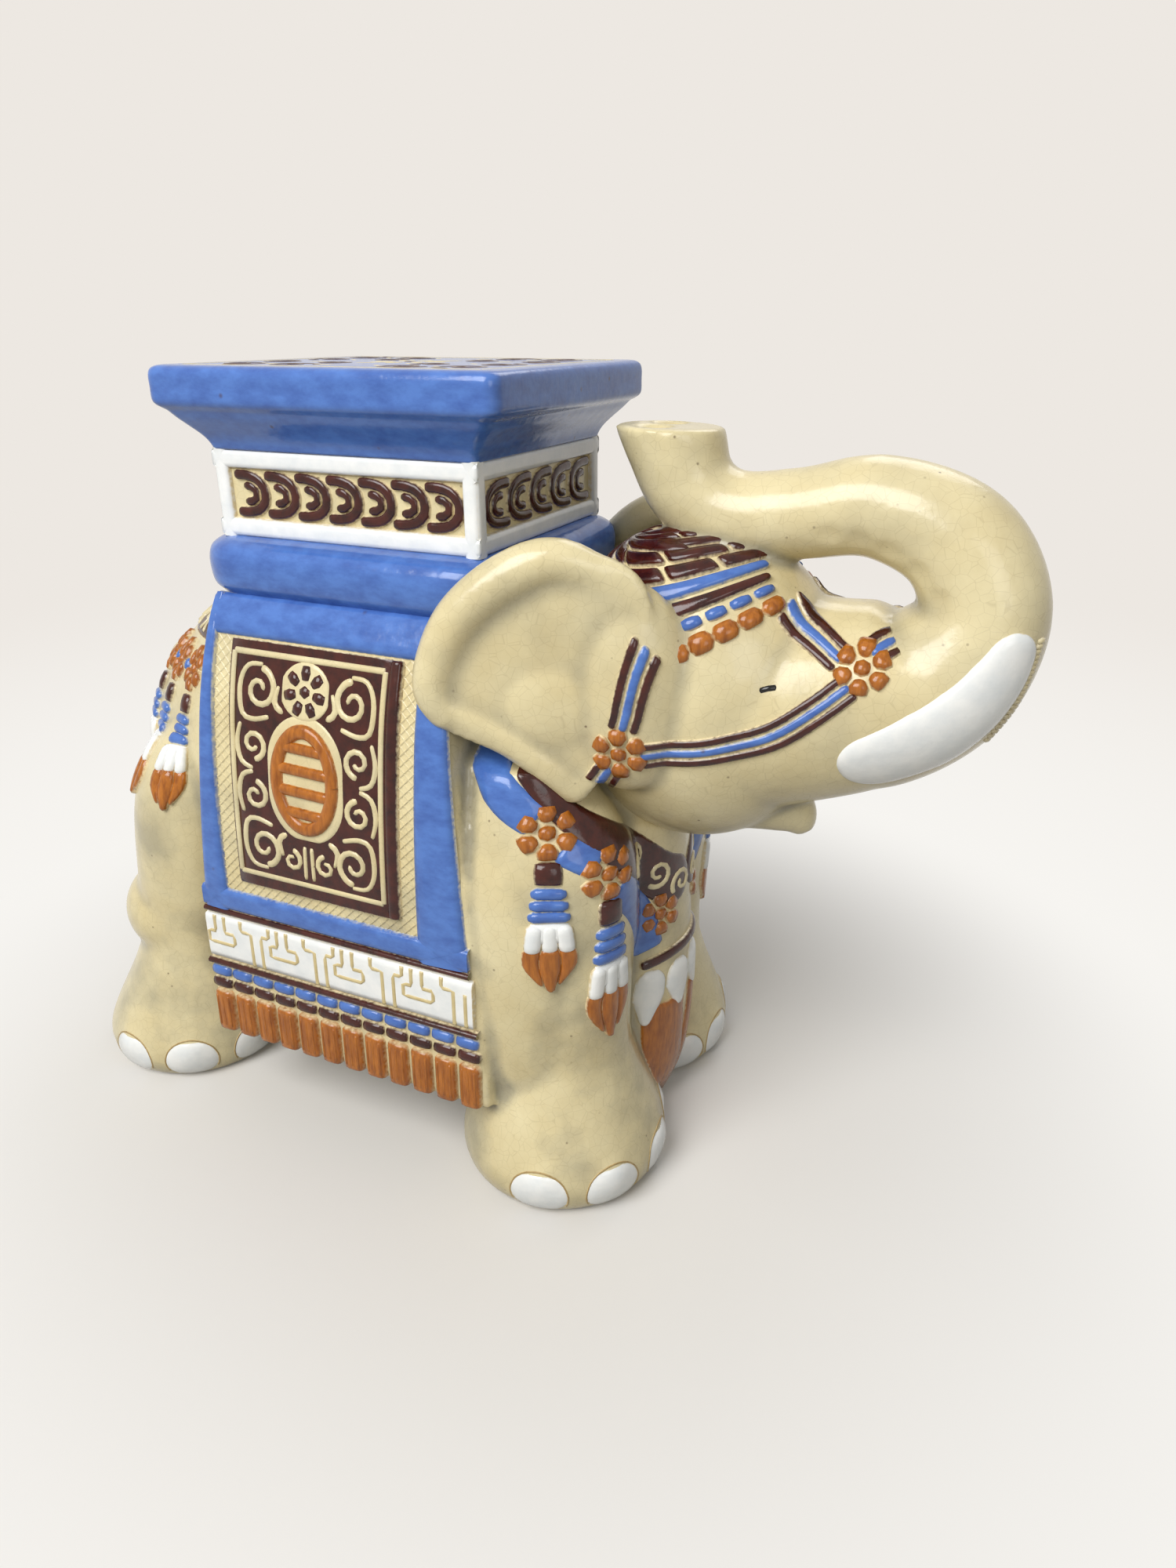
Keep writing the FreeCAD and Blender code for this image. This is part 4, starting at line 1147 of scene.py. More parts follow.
@dataclass
class ClayHead:
    """The head: skull, cheeks, raised trunk, lip, and two dished ears with rolled rims."""
    # Centre and half sizes of a ball, and x, y, z and radius, or x, z and radius, of a tube's rings.
    skull: Path = ((113.0, 0.0, 277.0), (75.0, 64.0, 82.0))
    jaw: Path = ((113.0, 0.0, 268.0, 60.0), (140.0, 0.0, 272.0, 57.5), (165.0, 0.0, 276.0, 53.0),
                 (190.0, 0.0, 281.0, 48.5), (210.0, 0.0, 287.0, 44.0))
    lip: Path = ((138.0, 0.0, 226.0, 26.0), (158.0, 0.0, 219.0, 19.0), (170.0, 0.0, 211.0, 12.0),
                 (175.0, 0.0, 203.0, 5.0))
    trunk: Path = ((135.0, 280.0, 46.0), (171.0, 281.0, 46.0), (203.5, 284.0, 46.0), (231.5, 299.3, 37.75),
                   (244.5, 330.0, 29.5), (229.5, 359.0, 26.25), (194.5, 372.0, 23.0), (160.5, 367.0, 21.0),
                   (126.0, 364.0, 21.0), (105.0, 375.0, 22.0), (95.5, 396.0, 24.5), (89.0, 419.0, 28.0))
    # The cut of the trunk's mouth: a point and the way it faces.
    tip: Path = ((92.0, 0.0, 404.0), (0.03, 0.0, 1.0))
    tip_reach: float = 124.0
    nostril: Triple = (88.0, 10.5, 404.0)
    creases: int = 5
    crease: Triple = (176.0, 23.0, 360.0)
    crease_step: Pair = (13.0, 1.5)
    tusk: Path = ((195.0, 258.0), (215.0, 266.5), (234.0, 278.0), (248.5, 293.0), (257.5, 309.0),
                  (263.5, 327.0))
    tusk_widths: tuple[float, ...] = (26.0, 31.0, 34.0, 31.0, 25.0, 15.0)
    tusk_beads: Path = ((271.0, 322.0), (269.0, 306.0), (264.5, 290.0), (256.0, 273.0))
    ear_root: Triple = (108.0, 66.0, 234.0)
    ear_turn: float = 20.0
    ear_size: Pair = (107.0, 124.0)
    # Shares of the ear's length and height, and a depth where there is a third number.
    ear_line: Path = ((0.29, 0.0), (0.45, 0.13), (0.92, 0.31), (1.0, 0.47), (0.87, 0.74), (0.61, 0.93),
                      (0.35, 1.0), (0.04, 0.9), (-0.02, 0.63), (0.1, 0.3))
    ear_depth: float = 12.0
    ear_dish: float = 4.0
    rim_part: tuple[int, int] = (2, 8)
    rim_radii: tuple[float, ...] = (9.0, 10.5, 11.5, 11.5, 10.0, 6.0)
    rim_share: Pair = (0.88, 0.9)
    fold: Path = ((0.88, 0.38, -5.0), (0.6, 0.25, -4.0), (0.42, 0.13, -4.0), (0.3, 0.04, -5.0))
    fold_r: float = 9.0
    swells: tuple[Path, ...] = (((0.42, 0.4, -7.0), (34.0, 12.0, 30.0)),
                                ((0.08, 0.45, -10.0), (30.0, 18.0, 52.0)))
    eye: Path = ((156.3, 294.4), (160.8, 296.0), (165.3, 296.8))

    def ear_point(self, back: float, up: float, out: float) -> Vector:
        """Find a point of the right ear.

        Args:
            back: the share of its length.
            up: the share of its height.
            out: how far it stands out from the ear's middle.

        Returns:
            The point.
        """
        turn = math.radians(self.ear_turn)
        length, height = self.ear_size
        root = Vector((self.ear_root[0], -self.ear_root[1], self.ear_root[2]))
        along = Vector((-math.cos(turn), -math.sin(turn), 0)) * (back * length)
        return root + along + UP * (up * height) + Vector((math.sin(turn), -math.cos(turn), 0)) * out

    def _skull(self, bm: Shapes) -> None:
        """Add the skull and the jaw to the shapes of a head."""
        ball(bm, *self.skull)
        tube(bm, flow(self.jaw, count=20))

    def bare_skull(self) -> Skin:
        """Model the skull without trunk and ears, for the cap.

        Returns:
            Its surface.
        """
        bm = bmesh.new()
        self._skull(bm)
        return Skin(cast(bm, grain=2.6, passes=8))

    def build(self) -> bpy.types.Object:
        """Model the head.

        Returns:
            Its piece.
        """
        bm = bmesh.new()
        self._skull(bm)
        tube(bm, flow(self.lip, count=16), segments=28)
        self._trunk(bm)
        self._ear(bm)
        mesh = cast(bm, grain=2.1, passes=10)
        inward = -Vector(self.tip[1])
        for side in (-1, 1):
            x, y, z = self.nostril
            press(mesh, (x, side * y, z), radius=9.5, way=inward, depth=11.0)
            x, y, z = self.crease
            ahead, fall = self.crease_step
            for index in range(self.creases):
                spot = (x + ahead * index, side * y, z - fall * index ** 2)
                press(mesh, spot, radius=9.0, way=(0.0, -side, 0.3), depth=1.6)
        names = ["head_shell", "trunk", "lower_lip", *both("ear")]
        return add_piece("clay_head", mesh, Finish.CREAM, names)

    def _trunk(self, bm: Shapes) -> None:
        """Add the trunk, with its mouth cut at a slant.

        Args:
            bm: the head's shapes.
        """
        trunk = bmesh.new()
        tube(trunk, [(x, 0, z, radius) for x, z, radius in flow(self.trunk, count=90)])
        end = [vert for vert in trunk.verts if vert.co.x < self.tip_reach * MM]
        geom = {part for vert in end for part in (vert, *vert.link_edges, *vert.link_faces)}
        cut = bmesh.ops.bisect_plane(trunk, geom=list(geom), plane_co=Vector(self.tip[0]) * MM,
                                     plane_no=self.tip[1], clear_outer=True)["geom_cut"]
        bmesh.ops.holes_fill(trunk, edges=only(bmesh.types.BMEdge, cut))
        bm.from_mesh(from_bmesh(trunk, "trunk"))

    def _ear(self, bm: Shapes) -> None:
        """Add both ears: a flap, a rolled rim and a soft swell that runs into the cheek.

        Args:
            bm: the head's shapes.
        """
        ear = bmesh.new()
        line = flow(self.ear_line, count=64, closed=True)[:-1]
        disc = bmesh.ops.create_circle(ear, cap_ends=True, segments=len(line), radius=1.0)["verts"]
        for vert, (back, up) in zip(disc, line):
            vert.co = self.ear_point(back, up, -self.ear_depth / 2) * MM
        top = bmesh.ops.extrude_face_region(ear, geom=ear.faces[:])["geom"]
        out = self.ear_point(0, 0, self.ear_depth - self.ear_dish) - self.ear_point(0, 0, 0)
        bmesh.ops.translate(ear, vec=out * MM, verts=only(bmesh.types.BMVert, top))
        outline = self.ear_line[slice(*self.rim_part)]
        wide, tall = self.rim_share
        rim = flow([(*point, radius) for point, radius in zip(outline, self.rim_radii)], count=48)
        rim = [(0.5 + (back - 0.5) * wide, 0.5 + (up - 0.5) * tall, radius) for back, up, radius in rim]
        rings = [(*self.ear_point(back, up, -self.ear_dish), radius) for back, up, radius in rim]
        tube(ear, rings, segments=28)
        fold = [(*self.ear_point(*point), self.fold_r) for point in flow(self.fold, count=20)]
        tube(ear, fold, segments=20)
        for center, half in self.swells:
            ball(ear, self.ear_point(*center), half, self.ear_turn)
        bmesh.ops.recalc_face_normals(ear, faces=ear.faces)
        mesh = from_bmesh(ear, "ear")
        for side in (1, -1):
            mesh.transform(Matrix.Diagonal((1, side, 1, 1)))
            if side < 0:
                mesh.flip_normals()
            bm.from_mesh(mesh)

    def add_tusks(self, skin: Skin) -> None:
        """Lay the white tusks, which lie flush along the trunk, and the bead line outside them.

        Args:
            skin: the head's surface.
        """
        white, beads = Relief(), Relief()
        white.stroke(skin.side, self.tusk, self.tusk_widths, height=2.6, rows=16, flat=3.0)
        for point in flow(self.tusk_beads, count=20):
            beads.petal(skin.side, *point, turn=0.0, length=3.4, width=3.4, height=1.3)
        white.add("tusks", Finish.WHITE, both("tusk"))
        beads.add("tusk_beads", Finish.CREAM)

    def add_eyes(self, skin: Skin) -> None:
        """Lay the eyes.

        Args:
            skin: the head's surface.
        """
        ink = Relief()
        ink.stroke(skin.side, self.eye, width=3.4, height=0.6, flat=2.2)
        ink.add("eyes", Finish.INK)


@dataclass
class Seat:
    """The seat: blue pad and slab, white-framed neck with its fret, and the patterned top."""
    x: float = -52.0
    neck: Pair = (77.0, 70.0)
    neck_z: Pair = (347.0, 391.0)
    # Height, half length, half width and corner radius of the rings.
    pad: Path = ((272.0, 82.0, 75.0, 20.0), (300.0, 83.0, 76.0, 21.0), (316.0, 84.0, 77.0, 21.0),
                 (319.5, 86.0, 79.0, 23.0), (323.5, 89.5, 82.5, 26.0), (330.0, 91.0, 84.0, 28.0),
                 (337.0, 91.0, 84.0, 28.0), (342.5, 89.0, 82.0, 26.0), (346.0, 84.0, 77.0, 22.0),
                 (347.5, 78.0, 71.0, 18.0))
    slab: Path = ((390.5, 77.0, 70.0, 4.0), (394.0, 78.4, 71.4, 4.0), (397.5, 80.8, 73.8, 4.5),
                  (401.5, 84.6, 77.4, 5.0), (405.5, 88.8, 81.0, 6.0), (409.0, 92.0, 83.6, 6.5),
                  (410.2, 94.2, 84.8, 7.0), (412.0, 96.6, 86.6, 7.0), (414.5, 97.5, 87.5, 7.0),
                  (420.0, 97.5, 87.5, 7.0), (425.0, 97.5, 87.5, 7.0), (428.0, 96.6, 86.6, 6.6),
                  (429.5, 94.6, 84.6, 6.0), (430.0, 92.0, 82.0, 5.0))
    core: Path = ((346.0, 74.0, 67.0, 4.0), (360.0, 74.0, 67.0, 4.0), (378.0, 74.0, 67.0, 4.0),
                  (392.0, 74.0, 67.0, 4.0))
    per_side: int = 14
    per_corner: int = 10
    side_hooks: int = 7
    end_hooks: int = 5
    rail: float = 10.0
    post: float = 9.0
    margin: float = 11.0
    # The hook in shares of its half sizes, then the share and line width of the large and small one.
    hook: Path = ((-1.0, 1.0), (-0.2, 1.0), (0.5, 0.82), (0.92, 0.4), (1.0, 0.0), (0.92, -0.4), (0.5, -0.82),
                  (-0.2, -1.0), (-1.0, -1.0))
    hook_sizes: Path = ((1.0, 6.0), (0.42, 5.0))
    hook_half: float = 9.2
    top_z: float = 429.4
    line_half: Pair = (84.0, 74.0)
    # Place in a quarter of the top, outer radius and first direction.
    scrolls: Path = ((64, 54, 15, 90), (64, 20, 13, -90), (32, 56, 14, 0), (30, 26, 11, 90))
    leaf_shift: Pair = (17.0, 4.0)
    petals: int = 8
    petal_reach: float = 15.0

    def stack(self, name: str, levels: Path, finish: Finish, nodes: Sequence[str],
              steps: int) -> bpy.types.Object:
        """Model a block of rounded oblong rings.

        Args:
            name: the piece's name.
            levels: height, half length, half width and corner radius of the rings.
            finish: its glaze.
            nodes: the solids it stands for.
            steps: how many rings it gets.

        Returns:
            The piece.
        """
        bm = bmesh.new()
        rings = []
        per_quarter = self.per_side + self.per_corner
        for step, level in enumerate(flow(levels, steps)):
            ring = bmesh.ops.create_circle(bm, cap_ends=step in (0, steps), segments=4 * per_quarter,
                                           radius=1.0)["verts"]
            for index, vert in enumerate(ring):
                vert.co = self._ring_point(level, *divmod(index, per_quarter)) * MM
            rings.append(ring)
        bridge(bm, rings)
        bmesh.ops.recalc_face_normals(bm, faces=bm.faces)
        return add_piece(name, from_bmesh(bm, name), finish, nodes)

    def _ring_point(self, level: Sequence[float], quarter: int, rest: int) -> Vector:
        """Find a point of a rounded oblong ring.

        Args:
            level: the ring's height, half length, half width and corner radius.
            quarter: the quarter it is in.
            rest: its place in the quarter, the corner first and then the side.

        Returns:
            The point.
        """
        z, half_x, half_y, corner = level
        sign_x, sign_y = ((1, 1), (-1, 1), (-1, -1), (1, -1))[quarter]
        angle = quarter * math.pi / 2 + min(rest / self.per_corner, 1.0) * math.pi / 2
        x = sign_x * (half_x - corner) + corner * math.cos(angle)
        y = sign_y * (half_y - corner) + corner * math.sin(angle)
        slide = max(0, rest - self.per_corner) / self.per_side
        if quarter % 2 == 0:
            x -= sign_x * slide * 2 * (half_x - corner)
        else:
            y -= sign_y * slide * 2 * (half_y - corner)
        return Vector((self.x + x, y, z))

    def build(self) -> None:
        """Model the seat."""
        self.stack("saddle_pad", self.pad, Finish.BLUE, ["saddle_pad"], steps=48)
        self.stack("neck_core", self.core, Finish.CREAM, ["seat_neck"], steps=6)
        self.stack("seat_slab", self.slab, Finish.BLUE, ["seat_slab", "seat_tile"], steps=54)
        self._frets()
        self._top()

    def _side(self, out: Vector, along: Vector, depth: float) -> Place:
        """Lay flat work on a side of the neck.

        Args:
            out: the side's outward direction.
            along: the direction of u.
            depth: how far the side lies from the seat's middle.

        Returns:
            The place of u and height v.
        """
        def place(u: float, v: float) -> Spot:
            """A point of this side of the neck."""
            return (Vector((self.x, 0, 0)) + out * depth + along * u + Vector((0, 0, v))) * MM, out
        return place

    def _frets(self) -> None:
        """Lay the white frames and the brown nested hooks on the four sides of the neck."""
        frames = Relief()
        _, core_x, core_y, _ = self.core[0]
        low, high = self.neck_z
        faces = (("right", Vector((0, -1, 0)), Vector((1, 0, 0)), core_y, self.neck[0], self.side_hooks, 1),
                 ("left", Vector((0, 1, 0)), Vector((-1, 0, 0)), core_y, self.neck[0], self.side_hooks, -1),
                 ("front", Vector((1, 0, 0)), Vector((0, 1, 0)), core_x, self.neck[1], self.end_hooks, -1),
                 ("rear", Vector((-1, 0, 0)), Vector((0, -1, 0)), core_x, self.neck[1], self.end_hooks, 1))
        for name, out, along, depth, half, hooks, opens in faces:
            place = self._side(out, along, depth)
            for z in (low + self.rail / 2, high - self.rail / 2):
                frames.stroke(place, [(-half, z), (half, z)], self.rail, height=3.0, blunt=True, flat=6.0)
            for end in (-1, 1):
                u = end * (half - self.post / 2)
                frames.stroke(place, [(u, low), (u, high)], self.post, height=3.0, blunt=True, flat=6.0)
            fret = Relief()
            pitch = 2 * (half - self.margin) / hooks
            for index in range(hooks):
                u = -half + self.margin + (index + 0.5) * pitch
                self._hook(fret, place, u, (low + high) / 2, pitch, opens)
            fret.add(f"neck_fret_{name}", Finish.BROWN, [f"neck_fret_{name}"], mirrored=False)
        frames.add("neck_frames", Finish.WHITE, mirrored=False)

    def _hook(self, fret: Relief, place: Place, u: float, v: float, pitch: float, opens: int) -> None:
        """Lay one hook of the fret: a large round hook with a small one inside it.

        Args:
            fret: the fret's shapes.
            place: the side of the neck.
            u: the hook's middle across.
            v: the hook's middle up.
            pitch: the room for one hook.
            opens: 1 to open back along the side, -1 to open forwards.
        """
        for size, width in self.hook_sizes:
            half_u, half_v = pitch * 0.5 * size, self.hook_half * size
            path = [(u + opens * half_u * across, v + half_v * up) for across, up in self.hook]
            fret.stroke(place, path, width, height=2.2)

    def _top(self) -> None:
        """Lay the pattern of the seat's top: a pale line, brown scrolls and a flower."""
        def place(u: float, v: float) -> Spot:
            """A point of the seat's top, from the seat's middle."""
            return Vector((self.x + u, v, self.top_z)) * MM, UP
        line, brown, cream = Relief(), Relief(), Relief()
        half_x, half_y = self.line_half
        for side in (-1, 1):
            for path in ([(-half_x, side * half_y), (half_x, side * half_y)],
                         [(side * half_x, -half_y), (side * half_x, half_y)]):
                line.stroke(place, path, width=2.4, height=0.8, rows=4)
        line.add("seat_line", Finish.CREAM, mirrored=False)
        for way_x, way_y in ((1, 1), (1, -1), (-1, 1), (-1, -1)):
            hand = way_x * way_y
            for across, up, size, start in self.scrolls:
                brown.curl(place, way_x * across, way_y * up, outer=size, turns=1.5, start=start * way_y,
                           width=6.0, height=0.9, hand=hand)
                leaf = way_x * (across - self.leaf_shift[0]), way_y * (up - self.leaf_shift[1])
                cream.petal(place, *leaf, turn=45.0 * hand, length=12.0, width=5.0, height=0.8)
        for index in range(self.petals):
            turn = index * FULL_TURN / self.petals
            across, up = math.cos(math.radians(turn)), math.sin(math.radians(turn))
            cream.petal(place, self.petal_reach * across, self.petal_reach * up, turn, length=16.0, width=8.0,
                        height=0.9)
        brown.petal(place, 0, 0, turn=0, length=11.0, width=11.0, height=1.0)
        brown.add("seat_scrolls", Finish.BROWN, mirrored=False)
        cream.add("seat_leaves", Finish.CREAM, mirrored=False)


@dataclass
class HeadHarness:
    """The scale cap, brow bands, bridle straps and rosettes. Places on the cap are in degrees."""
    center: Triple = (113.0, 0.0, 277.0)
    outside: float = 300.0
    tilt: float = 26.0
    low: float = 20.0
    fan: float = 0.28
    fan_middle: float = 70.0
    fan_half: float = 35.0
    face_length: float = 2.0
    beads: int = 8
    bead_first: float = 27.0
    bead_pitch: float = 11.0
    bead_lifts: Pair = (18.6, 28.4)
    dash_half: float = 4.9
    dash_lift: float = 32.4
    cord: Path = ((20.0, 39.4), (60.0, 39.4), (116.0, 39.4))
    band: Path = ((16.0, 47.4), (60.0, 47.4), (118.0, 47.4))
    scale_rows: tuple[int, ...] = (6, 5, 4, 3)
    scale_lift: float = 56.0
    scale_rise: float = 9.2
    scale_first: float = 8.0
    scale_span: float = 160.0
    scale_gap: float = 0.6
    cheek: Pair = (98.0, 263.0)
    muzzle: Pair = (200.0, 311.0)
    muzzle_axis: float = 283.0
    muzzle_r: float = 52.0
    muzzle_outside: float = 85.0
    steepest: float = 0.95
    straps: tuple[Path, ...] = (
        ((161.0, 329.5), (177.0, 321.5), (191.0, 312.5)),
        ((202.5, 317.0), (206.5, 321.5), (211.5, 325.5)),
        ((109.5, 305.0), (105.0, 293.5), (100.0, 275.0)),
        ((107.0, 261.7), (128.9, 263.2), (147.1, 267.5), (165.6, 274.7), (182.5, 287.9), (196.0, 302.0)),
        ((93.5, 255.0), (87.0, 245.0)))
    strap_steps: int = 16
    strap_shift: float = 5.0

    def dress(self, skull: Skin, head: Skin) -> None:
        """Lay the harness.

        Args:
            skull: the surface of the skull without the trunk.
            head: the whole head's surface.
        """
        self._cap(skull)
        self._straps(head)

    def _cap(self, skull: Skin) -> None:
        """Lay the brow beads, the two brow bands and the scales of the cap.

        Args:
            skull: the surface of the skull without the trunk.
        """
        tilt = math.radians(self.tilt)
        up = Vector((-math.sin(tilt), 0, math.cos(tilt)))
        ahead = Vector((math.cos(tilt), 0, math.sin(tilt)))

        def crown(u: float, v: float) -> Spot:
            """Find a point of the skull.

            Args:
                u: degrees back from the front, on the right side.
                v: degrees up.

            Returns:
                The point, and the outward direction there.
            """
            spread = 1 + self.fan * (u - self.fan_middle) / self.fan_half
            turn, lift = math.radians(u), math.radians(self.low + (v - self.low) * spread)
            level = ahead * math.cos(turn) - Vector((0, 1, 0)) * math.sin(turn)
            away = level * math.cos(lift) + up * math.sin(lift)
            return skull.drop((Vector(self.center) + away * self.outside) * MM, -away)
        amber, blue, brown, scales = Relief(), Relief(), Relief(), Relief()
        for relief in (amber, blue, brown, scales):
            relief.step = self.face_length
        for index in range(self.beads):
            turn = self.bead_first + index * self.bead_pitch
            bead = [(turn, lift) for lift in self.bead_lifts]
            amber.stroke(crown, bead, width=11.6, height=3.0, flat=3.0, corner=4.0)
            dash = [(turn - self.dash_half, self.dash_lift), (turn + self.dash_half, self.dash_lift)]
            blue.stroke(crown, dash, width=6.0, height=2.8, flat=3.0, corner=2.5)
        brown.stroke(crown, self.cord, width=(5.0, 7.4, 7.4), height=2.8)
        blue.stroke(crown, self.band, width=(6.0, 8.0, 8.0), height=2.8)
        for row, count in enumerate(self.scale_rows):
            lift = self.scale_lift + row * self.scale_rise
            spread = self.scale_span / count
            for index in range(count):
                turn = self.scale_first + (index - 0.5 * (row % 2)) * spread
                scale = [(turn + self.scale_gap, lift), (turn + spread - self.scale_gap, lift)]
                scales.stroke(crown, scale, width=8.8, height=2.8, flat=4.0, corner=3.0)
        scales.add("head_cap", Finish.BROWN, ["head_cap"])
        brown.add("brow_cord", Finish.BROWN)
        blue.add("brow_band", Finish.BLUE, ["brow_band"])
        amber.add("brow_beads", Finish.AMBER, ["brow_beads"])

    def _straps(self, head: Skin) -> None:
        """Lay the triple-line straps and the rosettes of the bridle.

        Args:
            head: the whole head's surface.
        """
        def over(u: float, v: float) -> Spot:
            """Find a point of the head, from above where the muzzle turns away.

            Args:
                u: the place along the body.
                v: the height.

            Returns:
                The point, and the outward direction there.
            """
            if v <= self.muzzle_axis:
                return head.side(u, v)
            lift = math.asin(min(self.steepest, (v - self.muzzle_axis) / self.muzzle_r))
            away = Vector((0, -math.cos(lift), math.sin(lift)))
            return head.drop((Vector((u, 0, self.muzzle_axis)) + away * self.muzzle_outside) * MM, -away)
        blue, brown, amber = Relief(), Relief(), Relief()
        lines = ((-self.strap_shift, brown, 4.6), (0.0, blue, 4.8), (self.strap_shift, brown, 4.6))
        last = self.strap_steps
        for path in self.straps:
            line = flow(path, last)
            for shift, relief, width in lines:
                moved = []
                for index, point in enumerate(line):
                    way = (line[min(index + 1, last)] - line[max(index - 1, 0)]).normalized()
                    moved.append(point + Vector((-way.y, way.x)) * shift)
                relief.stroke(over, moved, width, height=1.7, straight=True, rows=6)
        for spot in (self.muzzle, self.cheek):
            amber.rosette(over, *spot, radius=12.0, height=3.0)
        blue.add("bridle_blue", Finish.BLUE, both("bridle"))
        brown.add("bridle_brown", Finish.BROWN)
        amber.add("bridle_rosettes", Finish.AMBER, ["bridle_rosettes"])


@dataclass
class Tassels:
    """Hanging tassels: brown neck, three blue rings, a white petal cup and a three-lobed amber tuft.

    Lines and widths are shares of a tassel's width beside its middle and of its drop below its top.
    Those of the leaf are shares of half its width. Tips are in millimetres.
    """
    prefix: str
    neck: Path = ((0.0, 0.0), (0.0, 0.17))
    neck_width: float = 0.6
    rings: Path = ((0.36, 0.22), (0.39, 0.305), (0.42, 0.39))
    ring_width: float = 0.095
    cup: Path = ((0.0, 0.43), (0.0, 0.6))
    cup_widths: Pair = (0.8, 1.0)
    petal: Path = ((0.26, 0.44), (0.34, 0.68))
    petal_width: float = 0.36
    side_lobe: Path = ((0.3, 0.62), (0.36, 0.76), (0.16, 0.94))
    side_widths: Pair = (0.4, 0.36)
    side_tip: float = 2.0
    middle_lobe: Path = ((0.0, 0.62), (0.0, 0.76), (0.0, 1.0))
    middle_widths: Pair = (0.46, 0.5)
    middle_tip: float = 3.0
    leaf_top: float = 0.36
    leaf_line: Path = ((0.5, 8.0), (0.52, -8.0), (0.42, -30.0))
    leaf_widths: Triple = (0.86, 0.94, 0.8)
    leaf_tip: float = 2.0
    leaf_petals: Path = ((0.78, 0.92), (0.26, 0.3))
    leaf_petal_top: float = 8.0
    leaf_petal_end: Pair = (4.0, 10.0)
    leaf_petal_widths: Pair = (0.5, 0.56)
    leaf_petal_tip: float = 5.0

    def __post_init__(self) -> None:
        """Start an empty set for one part of the harness."""
        self.brown, self.blue, self.white, self.amber = Relief(), Relief(), Relief(), Relief()

    def hang(self, place: Place, u: float, v: float, drop: float, width: float) -> None:
        """Hang one tassel.

        Args:
            place: where the surface carries a flat point.
            u: its middle across.
            v: its top.
            drop: its length.
            width: the tuft's width.
        """
        def sized(line: Path, side: int = 1) -> list[Pair]:
            """A line of shares in this tassel's size, on one side of its middle."""
            return [(u + side * width * across, v - drop * down) for across, down in line]
        self.brown.stroke(place, sized(self.neck), width * self.neck_width, height=2.8, flat=3.0, corner=2.5)
        for half, down in self.rings:
            ring = sized(((-half, down), (half, down)))
            self.blue.stroke(place, ring, drop * self.ring_width, height=3.0, flat=3.0)
        widths = [width * share for share in self.cup_widths]
        self.white.stroke(place, sized(self.cup), widths, height=2.6, flat=4.0, corner=3.0)
        for side in (-1, 0, 1):
            self.white.stroke(place, sized(self.petal, side), width * self.petal_width, height=3.4, flat=3.0)
        widths = [*(width * share for share in self.side_widths), self.side_tip]
        for side in (-1, 1):
            self.amber.stroke(place, sized(self.side_lobe, side), widths, height=2.6, flat=3.0)
        widths = [*(width * share for share in self.middle_widths), self.middle_tip]
        self.amber.stroke(place, sized(self.middle_lobe), widths, height=3.4, flat=3.0)

    def leaf(self, place: Place, v: float, drop: float, width: float) -> None:
        """Hang the right half of the large middle tassel: a bar, white petals and half of one long leaf.

        Args:
            place: where the surface carries a flat point.
            v: its top.
            drop: its length.
            width: the leaf's width.
        """
        half = width / 2
        bar = [(-half, v - 4), (-half / 2, v - 1), (3.0, v)]
        self.brown.stroke(place, bar, width=7.0, height=2.8, flat=3.0)
        top = v - drop * self.leaf_top
        blade = [*((-half * across, top + up) for across, up in self.leaf_line), (-self.leaf_tip, v - drop)]
        widths = [*(half * share for share in self.leaf_widths), self.leaf_tip]
        self.amber.stroke(place, blade, widths, height=2.6, flat=4.0, rows=14, corner=4.0)
        above, slant = self.leaf_petal_end
        widths = [*(half * share for share in self.leaf_petal_widths), self.leaf_petal_tip]
        for shift, lean in self.leaf_petals:
            petal = [(-half * shift, v - self.leaf_petal_top), (-half * lean, top + above - slant * shift)]
            self.white.stroke(place, petal, widths, height=3.2, flat=3.0, rows=10)

    def add(self) -> None:
        """Make the set's pieces."""
        self.brown.add(f"{self.prefix}_tassel_necks", Finish.BROWN)
        self.blue.add(f"{self.prefix}_tassel_rings", Finish.BLUE, [f"{self.prefix}_tassel_stems"])
        self.white.add(f"{self.prefix}_tassel_cups", Finish.WHITE, [f"{self.prefix}_tassel_cups"])
        self.amber.add(f"{self.prefix}_tassel_tufts", Finish.AMBER, [f"{self.prefix}_tassel_tufts"])


